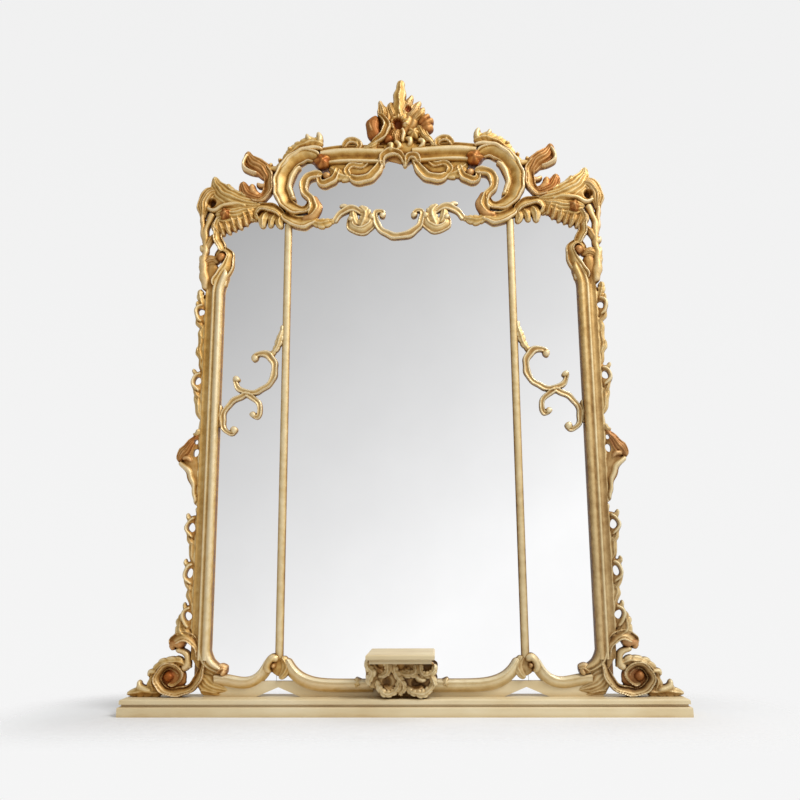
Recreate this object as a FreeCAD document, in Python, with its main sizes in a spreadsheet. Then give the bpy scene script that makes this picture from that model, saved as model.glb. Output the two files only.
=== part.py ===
import FreeCAD, Part
import math
import os
import re

import Sketcher

# An overmantel mirror: three mirror plates in a carved and gilded frame of scrolls and
# leaves, standing on a moulded plinth that rests on the mantel shelf.
# X runs to the viewer's right, the front faces -Y and Z is up. The origin is the centre
# of the plinth's underside.

Vector = FreeCAD.Vector

# Driving sizes, in millimetres
SIZES = {
    # Setting out: one square of the carver's drawing
    "square_width": 10,
    "square_height": 10,
    # Plinth
    "plinth_depth": 120,
    "plinth_base_height": 26,
    "plinth_neck_height": 7,
    "plinth_cap_height": 13,
    "plinth_neck_inset": 9,
    "plinth_cap_inset": 4,
    "plinth_base_round": 4,
    "plinth_cap_round": 5,
    # Layers from front to back: the panel plane stands this far behind the plinth's middle
    "panel_place": 13,
    "glass_thickness": 5,
    "panel_thickness": 8,
    "back_rail_thickness": 18,
    "back_rail_width": 70,
    # Moulding of the stiles
    "cove_width": 23,
    "outer_bead_width": 12,
    "groove_width": 4,
    "inner_bead_width": 16,
    "cove_relief": 16,
    "groove_relief": 22,
    "outer_bead_rise": 8,
    "inner_bead_rise": 13,
    # Glass in its rebates
    "glass_lap": 10,
    "glass_edge_gap": 1,
    "plate_gap": 1,
    "divider_width": 23,
    # Bottom rail with its two notches
    "rail_height": 42,
    "rail_thickness": 12,
    "notch_width": 124,
    # Bracket shelf
    "shelf_width": 188,
    "shelf_depth": 108,
    "shelf_thickness": 15,
    "shelf_round": 5,
    "shelf_mould_thickness": 10,
    "shelf_mould_inset": 9,
    "console_height": 96,
    # Carving: width and relief of the main scroll, relief of the scrolls laid on the glass
    "scroll_width": 40,
    "scroll_relief": 40,
    "applied_relief": 16,
    # Screws, strap hangers and their rings
    "screw_shank": 4,
    "screw_head": 8,
    "screw_head_height": 2.2,
    "rail_screw_bite": 5,
    "panel_screw_bite": 14,
    "strap_width": 14,
    "strap_length": 46,
    "strap_thickness": 1.5,
    "ring_wire": 4,
    "ring_span": 26,
    "ring_leg": 10,
    "ring_clearance": 0.1,
    "ring_end_gap": 1,
    "strap_screw_length": 12,
    "overrun": 5,
}

# Places are counted in squares of the carver's drawing, across from the centre line and up
# from the top of the plinth. These are the ends of the plinth and the outsides of the stiles.
PLINTH_END_SHARE = 78.5
STILE_EDGE_SHARE = 60.0

doc = FreeCAD.newDocument("overmantel_mirror")
sheet = doc.addObject("Spreadsheet::Sheet", "sizes")
for row, (alias, value) in enumerate(SIZES.items(), 1):
    sheet.set(f"A{row}", alias)
    sheet.set(f"B{row}", str(value))
    sheet.setAlias(f"B{row}", alias)
doc.recompute()


def size(alias):
    return float(sheet.get(alias))


def cells(text):
    """Point each size that an expression names at its cell in the sheet."""
    return re.sub(r"[a-z][a-z_]{3,}", lambda found: "sizes." + found.group(), text)


def bind(item, expressions):
    for place, text in expressions.items():
        item.setExpression(place, cells(text))


# Expressions that several pieces share
PLINTH_TOP = "(plinth_base_height + plinth_neck_height + plinth_cap_height)"
PLINTH_WIDTH = f"(2 * square_width * {PLINTH_END_SHARE})"
GLASS_FRONT = "(panel_place - glass_thickness)"
STILE_EDGE = f"(square_width * {STILE_EDGE_SHARE})"
STILE_WIDTH = "(cove_width + outer_bead_width + groove_width + inner_bead_width)"
SIGHT_EDGE = f"({STILE_EDGE} - {STILE_WIDTH})"
PANEL_BACK = "(panel_place + panel_thickness)"
RAIL_BACK = f"({PANEL_BACK} + back_rail_thickness)"


def across_text(squares):
    return f"(square_width * {squares})"


def up_text(squares):
    return f"({PLINTH_TOP} + square_height * {squares})"


plinth_top = size("plinth_base_height") + size("plinth_neck_height") + size("plinth_cap_height")
panel_plane = size("panel_place")
glass_front = panel_plane - size("glass_thickness")
rail_back = panel_plane + size("panel_thickness") + size("back_rail_thickness")


def across(squares):
    return size("square_width") * squares


def up(squares):
    return plinth_top + size("square_height") * squares


pieces = []


def keep(item, label):
    """Count an object as a finished piece; its label names its file."""
    item.Label = label
    pieces.append(item)
    return item


def mirrored(item, label):
    twin = doc.addObject("Part::Mirroring", label)
    twin.Source = item
    twin.Normal = Vector(1, 0, 0)
    return keep(twin, label)


def board(name, length, depth, height, corner):
    item = doc.addObject("Part::Box", name)
    bind(item, {"Length": length, "Width": depth, "Height": height})
    bind(item, {f"Placement.Base.{axis}": text for axis, text in zip("xyz", corner)})
    return item


def rod(name, radius, length, start, turn):
    """A round rod that starts at a point; turn lays its axis along another direction."""
    item = doc.addObject("Part::Cylinder", name)
    bind(item, {"Radius": radius, "Height": length})
    item.Placement = FreeCAD.Placement(Vector(), turn)
    bind(item, {f"Placement.Base.{axis}": text for axis, text in zip("xyz", start)})
    return item


def combined(kind, name, base, tool):
    item = doc.addObject(kind, name)
    item.Base = base
    item.Tool = tool
    return item


UPRIGHT = FreeCAD.Rotation()
TO_BACK = FreeCAD.Rotation(Vector(1, 0, 0), -90)
TO_RIGHT = FreeCAD.Rotation(Vector(0, 1, 0), 90)


def outline(body, role, corners):
    """A closed sketch whose corners are bound to expressions for their two coordinates."""
    sketch = body.newObject("Sketcher::SketchObject", body.Name + "_outline")
    plane = next(item for item in body.Origin.OriginFeatures if item.Role == role)
    sketch.AttachmentSupport = [(plane, "")]
    sketch.MapMode = "FlatFace"
    count = len(corners)
    turns = [2 * math.pi * number / count for number in range(count)]
    starts = [Vector(math.cos(turn), math.sin(turn), 0) for turn in turns]
    for number in range(count):
        sketch.addGeometry(Part.LineSegment(starts[number], starts[(number + 1) % count]), False)
    for number in range(count):
        sketch.addConstraint(Sketcher.Constraint("Coincident", number, 2, (number + 1) % count, 1))
    for number, corner in enumerate(corners):
        for kind, text, start in zip(("DistanceX", "DistanceY"), corner, starts[number]):
            rule = sketch.addConstraint(Sketcher.Constraint(kind, -1, 1, number, 1, start))
            sketch.setExpression(f"Constraints[{rule}]", cells(text))
    return sketch


def padded(name, role, corners, length):
    body = doc.addObject("PartDesign::Body", name)
    pad = body.newObject("PartDesign::Pad", name + "_pad")
    pad.Profile = outline(body, role, corners)
    bind(pad, {"Length": length})
    doc.recompute()
    return body


def rounded(body, chosen, radius):
    """Round the chosen edges of a body's last feature."""
    base = body.Tip
    edges = [f"Edge{number}" for number, edge in enumerate(base.Shape.Edges, 1) if chosen(edge)]
    fillet = body.newObject("PartDesign::Fillet", f"{body.Name}_round_{len(body.Group)}")
    fillet.Base = (base, edges)
    bind(fillet, {"Radius": radius})
    doc.recompute()
    return body


def plan_corners(width, depth):
    """The four corners of a board in plan, set about the middle of the plinth."""
    left, right = f"-({width}) / 2", f"({width}) / 2"
    front, back = f"-({depth}) / 2", "plinth_depth / 2"
    return [(left, front), (right, front), (right, back), (left, back)]


def level_edge(height, back):
    """A test for edges that lie level at a height and aren't the one along the wall."""
    def chosen(edge):
        box = edge.BoundBox
        level = max(abs(box.ZMin - height), abs(box.ZMax - height)) < size("overrun") / 100
        return level and box.YMin < back - size("overrun") / 100
    return chosen


# Plinth: a base board, a recessed neck and a rounded cap, all flush at the wall
wall_plane = size("plinth_depth") / 2
plinth_base = padded("plinth_base", "XY_Plane", plan_corners(PLINTH_WIDTH, "plinth_depth"),
                     "plinth_base_height")
keep(rounded(plinth_base, level_edge(size("plinth_base_height"), wall_plane), "plinth_base_round"),
     "plinth_base")

neck_corners = plan_corners(f"{PLINTH_WIDTH} - 2 * plinth_neck_inset",
                            "plinth_depth - 2 * plinth_neck_inset")
plinth_neck = padded("plinth_neck", "XY_Plane", neck_corners, "plinth_neck_height")
bind(plinth_neck, {"Placement.Base.z": "plinth_base_height"})
keep(plinth_neck, "plinth_neck")

cap_corners = plan_corners(f"{PLINTH_WIDTH} - 2 * plinth_cap_inset",
                           "plinth_depth - 2 * plinth_cap_inset")
plinth_cap = padded("plinth_cap", "XY_Plane", cap_corners, "plinth_cap_height")
rounded(plinth_cap, level_edge(size("plinth_cap_height"), wall_plane), "plinth_cap_round")
bind(plinth_cap, {"Placement.Base.z": "plinth_base_height + plinth_neck_height"})
keep(plinth_cap, "plinth_cap")

# Bottom rail: a board on the plinth with a pointed notch under each divider and a rebate
# along its top for the foot of the glass
DIVIDER_SHARE = 34.8
GLASS_FOOT_SHARE = 3.0
RAIL_END_SHARE = 56.0
NOTCH_RISE_SHARE = 0.85
rail_end = across_text(RAIL_END_SHARE)
notch_middle = across_text(DIVIDER_SHARE)
notch_rise = f"square_height * {GLASS_FOOT_SHARE} * {NOTCH_RISE_SHARE}"
rail_half = [
    (f"{notch_middle} - notch_width / 2", "0"),
    (notch_middle, notch_rise),
    (f"{notch_middle} + notch_width / 2", "0"),
    (rail_end, "0"),
    (rail_end, "rail_height"),
]
rail_corners = rail_half + [(f"-({x})", z) for x, z in reversed(rail_half)]
rail_blank = padded("rail_blank", "XZ_Plane", rail_corners, "rail_thickness")
bind(rail_blank, {"Placement.Base.y": "panel_place", "Placement.Base.z": PLINTH_TOP})
rail_rebate = board("rail_rebate", f"2 * {rail_end} + 2 * overrun", "glass_thickness + overrun",
                    "rail_height",
                    (f"-{rail_end} - overrun", GLASS_FRONT,
                     f"{up_text(GLASS_FOOT_SHARE)} - glass_edge_gap"))
keep(combined("Part::Cut", "bottom_rail", rail_blank, rail_rebate), "bottom_rail")

# Stiles: an outer cove, a small bead, a groove and a large bead, rebated for the glass
STILE_FOOT_SHARE = 10.0
STILE_HEAD_SHARE = 120.0
BEAD_ROUND_SHARE = 0.42
cove_edge = f"({STILE_EDGE} - cove_width)"
bead_edge = f"({cove_edge} - outer_bead_width)"
outer_front = "(panel_place - groove_relief - outer_bead_rise)"
inner_front = "(panel_place - groove_relief - inner_bead_rise)"
rebate_edge = f"({SIGHT_EDGE} + glass_lap + glass_edge_gap)"
stile_corners = [
    (STILE_EDGE, "panel_place"),
    (STILE_EDGE, "panel_place - cove_relief"),
    (cove_edge, "panel_place - cove_relief"),
    (cove_edge, outer_front),
    (bead_edge, outer_front),
    (bead_edge, "panel_place - groove_relief"),
    (f"{SIGHT_EDGE} + inner_bead_width", "panel_place - groove_relief"),
    (f"{SIGHT_EDGE} + inner_bead_width", inner_front),
    (SIGHT_EDGE, inner_front),
    (SIGHT_EDGE, GLASS_FRONT),
    (rebate_edge, GLASS_FRONT),
    (rebate_edge, "panel_place"),
]
stile_length = f"square_height * ({STILE_HEAD_SHARE} - {STILE_FOOT_SHARE})"
stile = padded("stile_blank", "XY_Plane", stile_corners, stile_length)


def front_arris(depth):
    """A test for the upright edges of a bead that stand at one depth."""
    def chosen(edge):
        box = edge.BoundBox
        upright = box.ZLength > box.XLength + box.YLength
        return upright and abs(box.Center.y - depth) < size("overrun") / 100
    return chosen


outer_bead_front = panel_plane - size("groove_relief") - size("outer_bead_rise")
inner_bead_front = panel_plane - size("groove_relief") - size("inner_bead_rise")
rounded(stile, front_arris(outer_bead_front),
        f"min(outer_bead_width; outer_bead_rise) * {BEAD_ROUND_SHARE}")
rounded(stile, front_arris(inner_bead_front),
        f"min(inner_bead_width; inner_bead_rise) * {BEAD_ROUND_SHARE}")
bind(stile, {"Placement.Base.z": up_text(STILE_FOOT_SHARE)})

# Mirror plates: two side plates and a centre plate with a low arched head. They meet
# behind the dividers.
PLATE_JOINT_SHARE = 35.5
SIDE_GLASS_HEAD_SHARE = 144.5
GLASS_SPRING_SHARE = 161.2
GLASS_CROWN_SHARE = 165.2
joint_line = across_text(PLATE_JOINT_SHARE)
glass_foot = up_text(GLASS_FOOT_SHARE)
side_plate = board("right_plate", f"{SIGHT_EDGE} + glass_lap - {joint_line} - plate_gap / 2",
                   "glass_thickness", f"{up_text(SIDE_GLASS_HEAD_SHARE)} - {glass_foot}",
                   (f"{joint_line} + plate_gap / 2", GLASS_FRONT, glass_foot))
keep(side_plate, "right_plate")
mirrored(side_plate, "left_plate")


def arched(name, half_width, foot, spring, crown, front, thickness):
    """A flat sheet with a low arched head: a longer board trimmed by the arch's circle."""
    rise = f"({crown} - {spring})"
    radius = f"(({half_width}) ^ 2 + {rise} ^ 2) / (2 * {rise})"
    blank = board(name + "_board", f"2 * ({half_width})", thickness, f"{crown} - {foot} + overrun",
                  (f"-({half_width})", front, foot))
    circle = rod(name + "_circle", radius, f"{thickness} + 2 * overrun",
                 ("0", f"{front} - overrun", f"{crown} - {radius}"), TO_BACK)
    return combined("Part::Common", name, blank, circle)


keep(arched("centre_plate", f"{joint_line} - plate_gap / 2", glass_foot, up_text(GLASS_SPRING_SHARE),
            up_text(GLASS_CROWN_SHARE), GLASS_FRONT, "glass_thickness"), "centre_plate")

# Backboards behind the plates. The side boards reach behind the stiles and step in above
# them, so that the pierced corner carvings stay open.
BOARD_FOOT_SHARE = 3.4
SIDE_BOARD_EDGE_SHARE = 59.2
SIDE_BOARD_STEP_SHARE = 119.0
SIDE_BOARD_HEAD_EDGE_SHARE = 55.2
SIDE_BOARD_HEAD_SHARE = 147.0
BOARD_JOINT_SHARE = 36.9
BOARD_SPRING_SHARE = 160.5
BOARD_CROWN_SHARE = 167.0
board_joint = f"{across_text(BOARD_JOINT_SHARE)} + plate_gap / 2"
side_board_corners = [
    (board_joint, up_text(BOARD_FOOT_SHARE)),
    (across_text(SIDE_BOARD_EDGE_SHARE), up_text(BOARD_FOOT_SHARE)),
    (across_text(SIDE_BOARD_EDGE_SHARE), up_text(SIDE_BOARD_STEP_SHARE)),
    (across_text(SIDE_BOARD_HEAD_EDGE_SHARE), up_text(SIDE_BOARD_STEP_SHARE)),
    (across_text(SIDE_BOARD_HEAD_EDGE_SHARE), up_text(SIDE_BOARD_HEAD_SHARE)),
    (board_joint, up_text(SIDE_BOARD_HEAD_SHARE)),
]
side_board = padded("side_board_blank", "XZ_Plane", side_board_corners, "panel_thickness")
bind(side_board, {"Placement.Base.y": PANEL_BACK})
centre_board = arched("centre_board_blank", f"{across_text(BOARD_JOINT_SHARE)} - plate_gap / 2",
                      up_text(BOARD_FOOT_SHARE), up_text(BOARD_SPRING_SHARE),
                      up_text(BOARD_CROWN_SHARE), "panel_place", "panel_thickness")

# Back rails across the three boards
BACK_RAIL_FOOT_SHARES = {"bottom_back_rail": 8.0, "middle_back_rail": 70.0, "top_back_rail": 138.0}
BACK_RAIL_END_SHARES = {"bottom_back_rail": 59.0, "middle_back_rail": 59.0, "top_back_rail": 55.0}
RAIL_SCREW_SHARES = (12.0, 50.0)
RAIL_SCREW_HEIGHT_SHARE = 0.5
PANEL_SCREW_PLACE_SHARE = 58.0
PANEL_SCREW_SHARES = (22.0, 46.0, 88.0, 112.0)


def screws(name, places, head_plane, shank, into):
    """Pan-head screws driven towards the front, as one group, and the holes they need."""
    radius = size("screw_shank") / 2
    heads = []
    holes = []
    for x, z in places:
        start = Vector(x, head_plane, z)
        forward = Vector(0, -1, 0)
        head = Part.makeCylinder(size("screw_head") / 2, size("screw_head_height"), start, -forward)
        pin = Part.makeCylinder(radius, shank, start, forward)
        heads.append(head.fuse(pin).removeSplitter())
        holes.append(Part.makeCylinder(radius, shank + into, start + Vector(0, into, 0), forward))
    group = doc.addObject("Part::Feature", name)
    group.Shape = Part.makeCompound(heads)
    bores = doc.addObject("Part::Feature", name + "_bores")
    bores.Shape = Part.makeCompound(holes)
    return keep(group, name), bores


rail_screw_places = []
for foot in BACK_RAIL_FOOT_SHARES.values():
    height = up(foot) + size("back_rail_width") * RAIL_SCREW_HEIGHT_SHARE
    for share in RAIL_SCREW_SHARES:
        rail_screw_places += [(across(share), height), (-across(share), height)]
panel_screw_places = []
for share in PANEL_SCREW_SHARES:
    panel_screw_places += [(side * across(PANEL_SCREW_PLACE_SHARE), up(share)) for side in (1, -1)]

rail_shank = size("back_rail_thickness") + size("rail_screw_bite")
panel_shank = size("panel_thickness") + size("panel_screw_bite")
rail_screws, rail_bores = screws("rail_screws", rail_screw_places, rail_back, rail_shank, size("overrun"))
panel_screws, panel_bores = screws("panel_screws", panel_screw_places,
                                   panel_plane + size("panel_thickness"), panel_shank, size("overrun"))


def bored(label, blank, *tools):
    """A blank with screw holes cut into it, kept as a finished piece."""
    for number, tool in enumerate(tools):
        blank = combined("Part::Cut", f"{label}_cut_{number}", blank, tool)
    return keep(blank, label)


def twin_of(blank, name):
    twin = doc.addObject("Part::Mirroring", name)
    twin.Source = blank
    twin.Normal = Vector(1, 0, 0)
    return twin


bored("right_stile", stile, panel_bores)
bored("left_stile", twin_of(stile, "left_stile_blank"), panel_bores)
bored("right_backboard", side_board, panel_bores, rail_bores)
bored("left_backboard", twin_of(side_board, "left_board_blank"), panel_bores, rail_bores)
bored("centre_backboard", centre_board, rail_bores)

# Strap hangers near the ends of the top back rail, each with a ring in its rolled eye
STRAP_PLACE_SHARE = 42.0
STRAP_SCREW_SHARES = (0.24, 0.78)
EYE_HEIGHT_SHARE = 0.86
eye_bore = "(ring_wire / 2 + ring_clearance)"
eye_radius = f"({eye_bore} + strap_thickness)"
eye_height = f"({up_text(BACK_RAIL_FOOT_SHARES['top_back_rail'])} + back_rail_width * {EYE_HEIGHT_SHARE})"
eye_depth = f"({RAIL_BACK} + {eye_radius})"
strap_middle = across_text(STRAP_PLACE_SHARE)

strap_screw_places = []
eye_level = up(BACK_RAIL_FOOT_SHARES["top_back_rail"]) + size("back_rail_width") * EYE_HEIGHT_SHARE
for share in STRAP_SCREW_SHARES:
    level = eye_level - size("strap_length") * share
    strap_screw_places += [(side * across(STRAP_PLACE_SHARE), level) for side in (1, -1)]
strap_screws, strap_bores = screws("strap_screws", strap_screw_places,
                                   rail_back + size("strap_thickness"), size("strap_screw_length"),
                                   size("overrun"))

for rail_name, foot in BACK_RAIL_FOOT_SHARES.items():
    end = across_text(BACK_RAIL_END_SHARES[rail_name])
    blank = board(rail_name + "_blank", f"2 * {end}", "back_rail_thickness", "back_rail_width",
                  (f"-{end}", PANEL_BACK, up_text(foot)))
    tools = [rail_bores, strap_bores] if rail_name == "top_back_rail" else [rail_bores]
    bored(rail_name, blank, *tools)

plate = board("strap_plate", "strap_width", "strap_thickness", "strap_length",
              (f"{strap_middle} - strap_width / 2", RAIL_BACK, f"{eye_height} - strap_length"))
eye_start = (f"{strap_middle} - strap_width / 2", eye_depth, eye_height)
eye_tube = rod("strap_eye", eye_radius, "strap_width", eye_start, TO_RIGHT)
eye_hole = rod("strap_eye_bore", eye_bore, "strap_width + 2 * overrun",
               (f"{strap_middle} - strap_width / 2 - overrun", eye_depth, eye_height), TO_RIGHT)
strap_solid = combined("Part::Fuse", "strap_solid", plate, eye_tube)
strap_eyed = combined("Part::Cut", "strap_eyed", strap_solid, eye_hole)
right_strap = bored("right_hanger_strap", strap_eyed, strap_bores)
mirrored(right_strap, "left_hanger_strap")

# The ring: a bar through the eye, two legs and a half-round bow, hanging down
bar = rod("ring_bar", "ring_wire / 2", "ring_span",
          (f"{strap_middle} - ring_span / 2", eye_depth, eye_height), TO_RIGHT)
ring = bar
for side, word in ((-1, "left"), (1, "right")):
    corner = (f"{strap_middle} + {side} * ring_span / 2", eye_depth, eye_height)
    knuckle = doc.addObject("Part::Sphere", f"ring_{word}_knuckle")
    bind(knuckle, {"Radius": "ring_wire / 2"})
    bind(knuckle, {f"Placement.Base.{axis}": text for axis, text in zip("xyz", corner)})
    leg = rod(f"ring_{word}_leg", "ring_wire / 2", "ring_leg",
              (corner[0], corner[1], f"{eye_height} - ring_leg"), UPRIGHT)
    ring = combined("Part::Fuse", f"ring_{word}_corner", ring, knuckle)
    ring = combined("Part::Fuse", f"ring_{word}_side", ring, leg)
bow = doc.addObject("Part::Torus", "ring_bow")
bind(bow, {"Radius1": "ring_span / 2", "Radius2": "ring_wire / 2"})
bow.Angle3 = 180
bow.Placement = FreeCAD.Placement(Vector(), FreeCAD.Rotation(Vector(1, 0, 0), -90))
bow_middle = (strap_middle, eye_depth, f"{eye_height} - ring_leg")
bind(bow, {f"Placement.Base.{axis}": text for axis, text in zip("xyz", bow_middle)})
ring = combined("Part::Fuse", "right_ring", ring, bow)
keep(ring, "right_ring")
mirrored(ring, "left_ring")

# Dividers: half-round beads on the glass
DIVIDER_FOOT_SHARE = 10.4
DIVIDER_HEAD_SHARE = 141.7
divider = doc.addObject("Part::Cylinder", "right_divider")
divider.Angle = 180
divider.Placement = FreeCAD.Placement(Vector(), FreeCAD.Rotation(Vector(0, 0, 1), 180))
bind(divider, {
    "Radius": "divider_width / 2",
    "Height": f"square_height * ({DIVIDER_HEAD_SHARE} - {DIVIDER_FOOT_SHARE})",
    "Placement.Base.x": across_text(DIVIDER_SHARE),
    "Placement.Base.y": GLASS_FRONT,
    "Placement.Base.z": up_text(DIVIDER_FOOT_SHARE),
})
keep(divider, "right_divider")
mirrored(divider, "left_divider")

# Bracket shelf: a rounded board on a smaller moulding, above the carved console
shelf_foot = f"{PLINTH_TOP} + console_height + shelf_mould_thickness"


def shelf_corners(inset):
    half = f"(shelf_width / 2 - {inset})"
    front = f"{GLASS_FRONT} - shelf_depth + {inset}"
    return [(f"-{half}", front), (half, front), (half, GLASS_FRONT), (f"-{half}", GLASS_FRONT)]


shelf = padded("shelf_top", "XY_Plane", shelf_corners("0"), "shelf_thickness")
for shelf_level in (0, size("shelf_thickness")):
    rounded(shelf, level_edge(shelf_level, glass_front), "shelf_round")
bind(shelf, {"Placement.Base.z": shelf_foot})
shelf_mould = padded("shelf_moulding", "XY_Plane", shelf_corners("shelf_mould_inset"),
                     "shelf_mould_thickness")
bind(shelf_mould, {"Placement.Base.z": f"{PLINTH_TOP} + console_height"})
keep(combined("Part::Fuse", "shelf_piece", shelf, shelf_mould), "shelf_board")

doc.recompute()

# Carving. Each stroke of a carving follows a smooth line in the drawing and is cut in flat
# facets: its section stands square to the line and swells and tapers along it.

# Sections, as shares of the stroke's width across and of its relief towards the front
SECTION_SHARES = {
    "cove": [(-0.5, 0), (-0.36, 0.92), (0, 0.62), (0.36, 0.92), (0.5, 0)],
    "leaf": [(-0.5, 0), (-0.4, 0.5), (0, 1), (0.4, 0.5), (0.5, 0)],
    "blade": [(-0.5, 0), (0, 1), (0.5, 0)],
    "rail": [(-0.5, 0), (-0.5, 0.7), (-0.24, 0.85), (-0.14, 0.5), (0.12, 0.55), (0.22, 0.8),
             (0.42, 0.75), (0.5, 0)],
}
# A narrow stretch keeps this share of the stroke's relief, and the rest follows its width
LEAST_RELIEF_SHARE = 0.45
# A curl's inner edge stops short of the centre of its bend by this share
BEND_SHARE = 0.8
# A stroke is cut into this many lengths between one point of its line and the next
SPANS_PER_POINT = 1.2


def along(table, share):
    """Read a table of shares at a place between its first entry and its last."""
    place = share * (len(table) - 1)
    number = min(int(place), len(table) - 2)
    return table[number] + (table[number + 1] - table[number]) * (place - number)


def facet(*corners):
    return Part.Face(Part.makePolygon(list(corners) + [corners[0]]))


def skin(rings):
    """A solid with flat facets through a row of rings that have equal numbers of corners."""
    flat = size("overrun") * 1e-7
    faces = [facet(*rings[0]), facet(*rings[-1])]
    for ring_near, ring_far in zip(rings, rings[1:]):
        for number in range(len(ring_near)):
            after = (number + 1) % len(ring_near)
            a, b = ring_near[number], ring_near[after]
            c, d = ring_far[after], ring_far[number]
            square = (b - a).cross(c - a).normalize()
            if abs(square.dot(d - a)) < flat:
                faces.append(facet(a, b, c, d))
            else:
                faces += [facet(a, b, c), facet(a, c, d)]
    solid = Part.Solid(Part.Shell(faces))
    if solid.Volume < 0:
        solid.reverse()
    return solid


def stroke(form, relief, line_shares, width_shares, back):
    """One swelling stroke along a smooth line through the points given in squares."""
    curve = Part.BSplineCurve()
    curve.interpolate([Vector(across(x), back, up(z)) for x, z in line_shares])
    spans = round(SPANS_PER_POINT * (len(line_shares) - 1))
    widest = max(width_shares)
    rings = []
    for station in range(spans + 1):
        share = station / spans
        place = curve.parameterAtDistance(curve.length() * share, curve.FirstParameter)
        middle = curve.value(place)
        run = curve.tangent(place)[0]
        sideways = Vector(-run.z, 0, run.x)
        width_share = along(width_shares, share)
        width = size("scroll_width") * width_share
        bend = curve.curvature(place)
        if bend * width > 2 * BEND_SHARE:
            width = 2 * BEND_SHARE / bend
        fullness = LEAST_RELIEF_SHARE + (1 - LEAST_RELIEF_SHARE) * width_share / widest
        rings.append([middle + sideways * (width * side) + Vector(0, -relief * fullness * rise, 0)
                      for side, rise in SECTION_SHARES[form]])
    return skin(rings)


# A knob: rings that close in towards the front, as shares of its radius and its relief
KNOB_SHARES = [(1.0, 0.0), (0.86, 0.64), (0.4, 1.0)]
KNOB_SIDES = 8


def knob(relief, place, radius_share, back):
    x, z = place
    radius = size("scroll_width") * radius_share
    turns = [2 * math.pi * (number + 0.5) / KNOB_SIDES for number in range(KNOB_SIDES)]
    rings = []
    for reach, rise in KNOB_SHARES:
        rings.append([Vector(across(x) + radius * reach * math.cos(turn), back - relief * rise,
                             up(z) + radius * reach * math.sin(turn)) for turn in turns])
    return skin(rings)


standing = [item.Shape for item in pieces]


def fitted(shape):
    """Trim a carving against the pieces that stand already, and keep its main part."""
    near = [other for other in standing if shape.BoundBox.intersect(other.BoundBox)]
    return max(shape.cut(near).Solids, key=lambda solid: solid.Volume).removeSplitter()


def add_carving(label, shape):
    item = doc.addObject("Part::Feature", label)
    item.Shape = shape
    item.Placement = FreeCAD.Placement()
    keep(item, label)
    standing.append(item.Shape)


def carved(strokes, relief, back):
    """Join the strokes and knobs of one carving into one solid."""
    solids = []
    for form, relief_share, places, shares in strokes:
        if form == "knob":
            solids.append(knob(relief * relief_share, places, shares, back))
        else:
            solids.append(stroke(form, relief * relief_share, places, shares, back))
    return solids[0].multiFuse(solids[1:]) if len(solids) > 1 else solids[0]


def carve_pair(label, strokes, relief, back):
    """A carving on the right, trimmed to what stands there, and its mirror image."""
    shape = fitted(carved(strokes, relief, back))
    add_carving("right_" + label, shape)
    add_carving("left_" + label, shape.mirror(Vector(), Vector(1, 0, 0)))


def carve_centre(label, strokes, relief, back):
    add_carving(label, fitted(carved(strokes, relief, back)))


# Console under the shelf: a hollow-fronted bracket that widens upwards. Each level gives
# its height, half width and depth as shares of the console's height and the shelf's plan.
CONSOLE_LEVEL_SHARES = [(0.0, 0.34, 0.46), (0.2, 0.44, 0.52), (0.45, 0.4, 0.5), (0.7, 0.44, 0.66),
                        (1.0, 0.44, 0.86)]
CONSOLE_SECTION_SHARES = [(-1.0, 0.0), (-1.0, 0.55), (-0.62, 0.92), (-0.3, 0.78), (0.0, 1.0),
                          (0.3, 0.78), (0.62, 0.92), (1.0, 0.55), (1.0, 0.0)]


def console():
    rings = []
    for level, half, depth in CONSOLE_LEVEL_SHARES:
        height = plinth_top + size("console_height") * level
        rings.append([Vector(size("shelf_width") * half * side,
                             glass_front - size("shelf_depth") * depth * reach, height)
                      for side, reach in CONSOLE_SECTION_SHARES])
    return skin(rings)


add_carving("shelf_console", fitted(console()))

# The carvings, stroke by stroke: form, relief share, line or place in squares, width shares
DIVIDER_FOOT_SHARES = [
    ("leaf", 0.6, [(DIVIDER_SHARE, DIVIDER_FOOT_SHARE), (DIVIDER_SHARE, 7.6), (DIVIDER_SHARE, 3.8)],
     [0.58, 0.9, 0.3]),
]
OUTER_SWAG_SHARES = [
    ("cove", 0.85, [(57.2, 11.2), (56.5, 8.6), (54.4, 6.4), (51.8, 5.4)], [1.35, 1.2, 0.9, 0.5]),
    ("knob", 0.8, (51.7, 6.3), 0.4),
    ("cove", 0.7, [(54.4, 5.2), (50.6, 4.4), (47.0, 3.6), (43.0, 3.5), (40.2, 5.2), (38.2, 8.2), (36.4, 9.9)],
     [0.8, 1.0, 1.0, 0.95, 0.9, 0.8, 0.65, 0.4]),
]
INNER_SWAG_SHARES = [
    ("cove", 0.7, [(33.3, 9.9), (31.8, 7.8), (29.0, 5.0), (25.0, 3.3), (20.0, 2.7), (14.5, 2.7), (9.0, 2.7)],
     [0.4, 0.7, 0.9, 1.0, 1.0, 1.0, 1.0]),
    ("knob", 0.75, (12.4, 3.7), 0.3),
]
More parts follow.
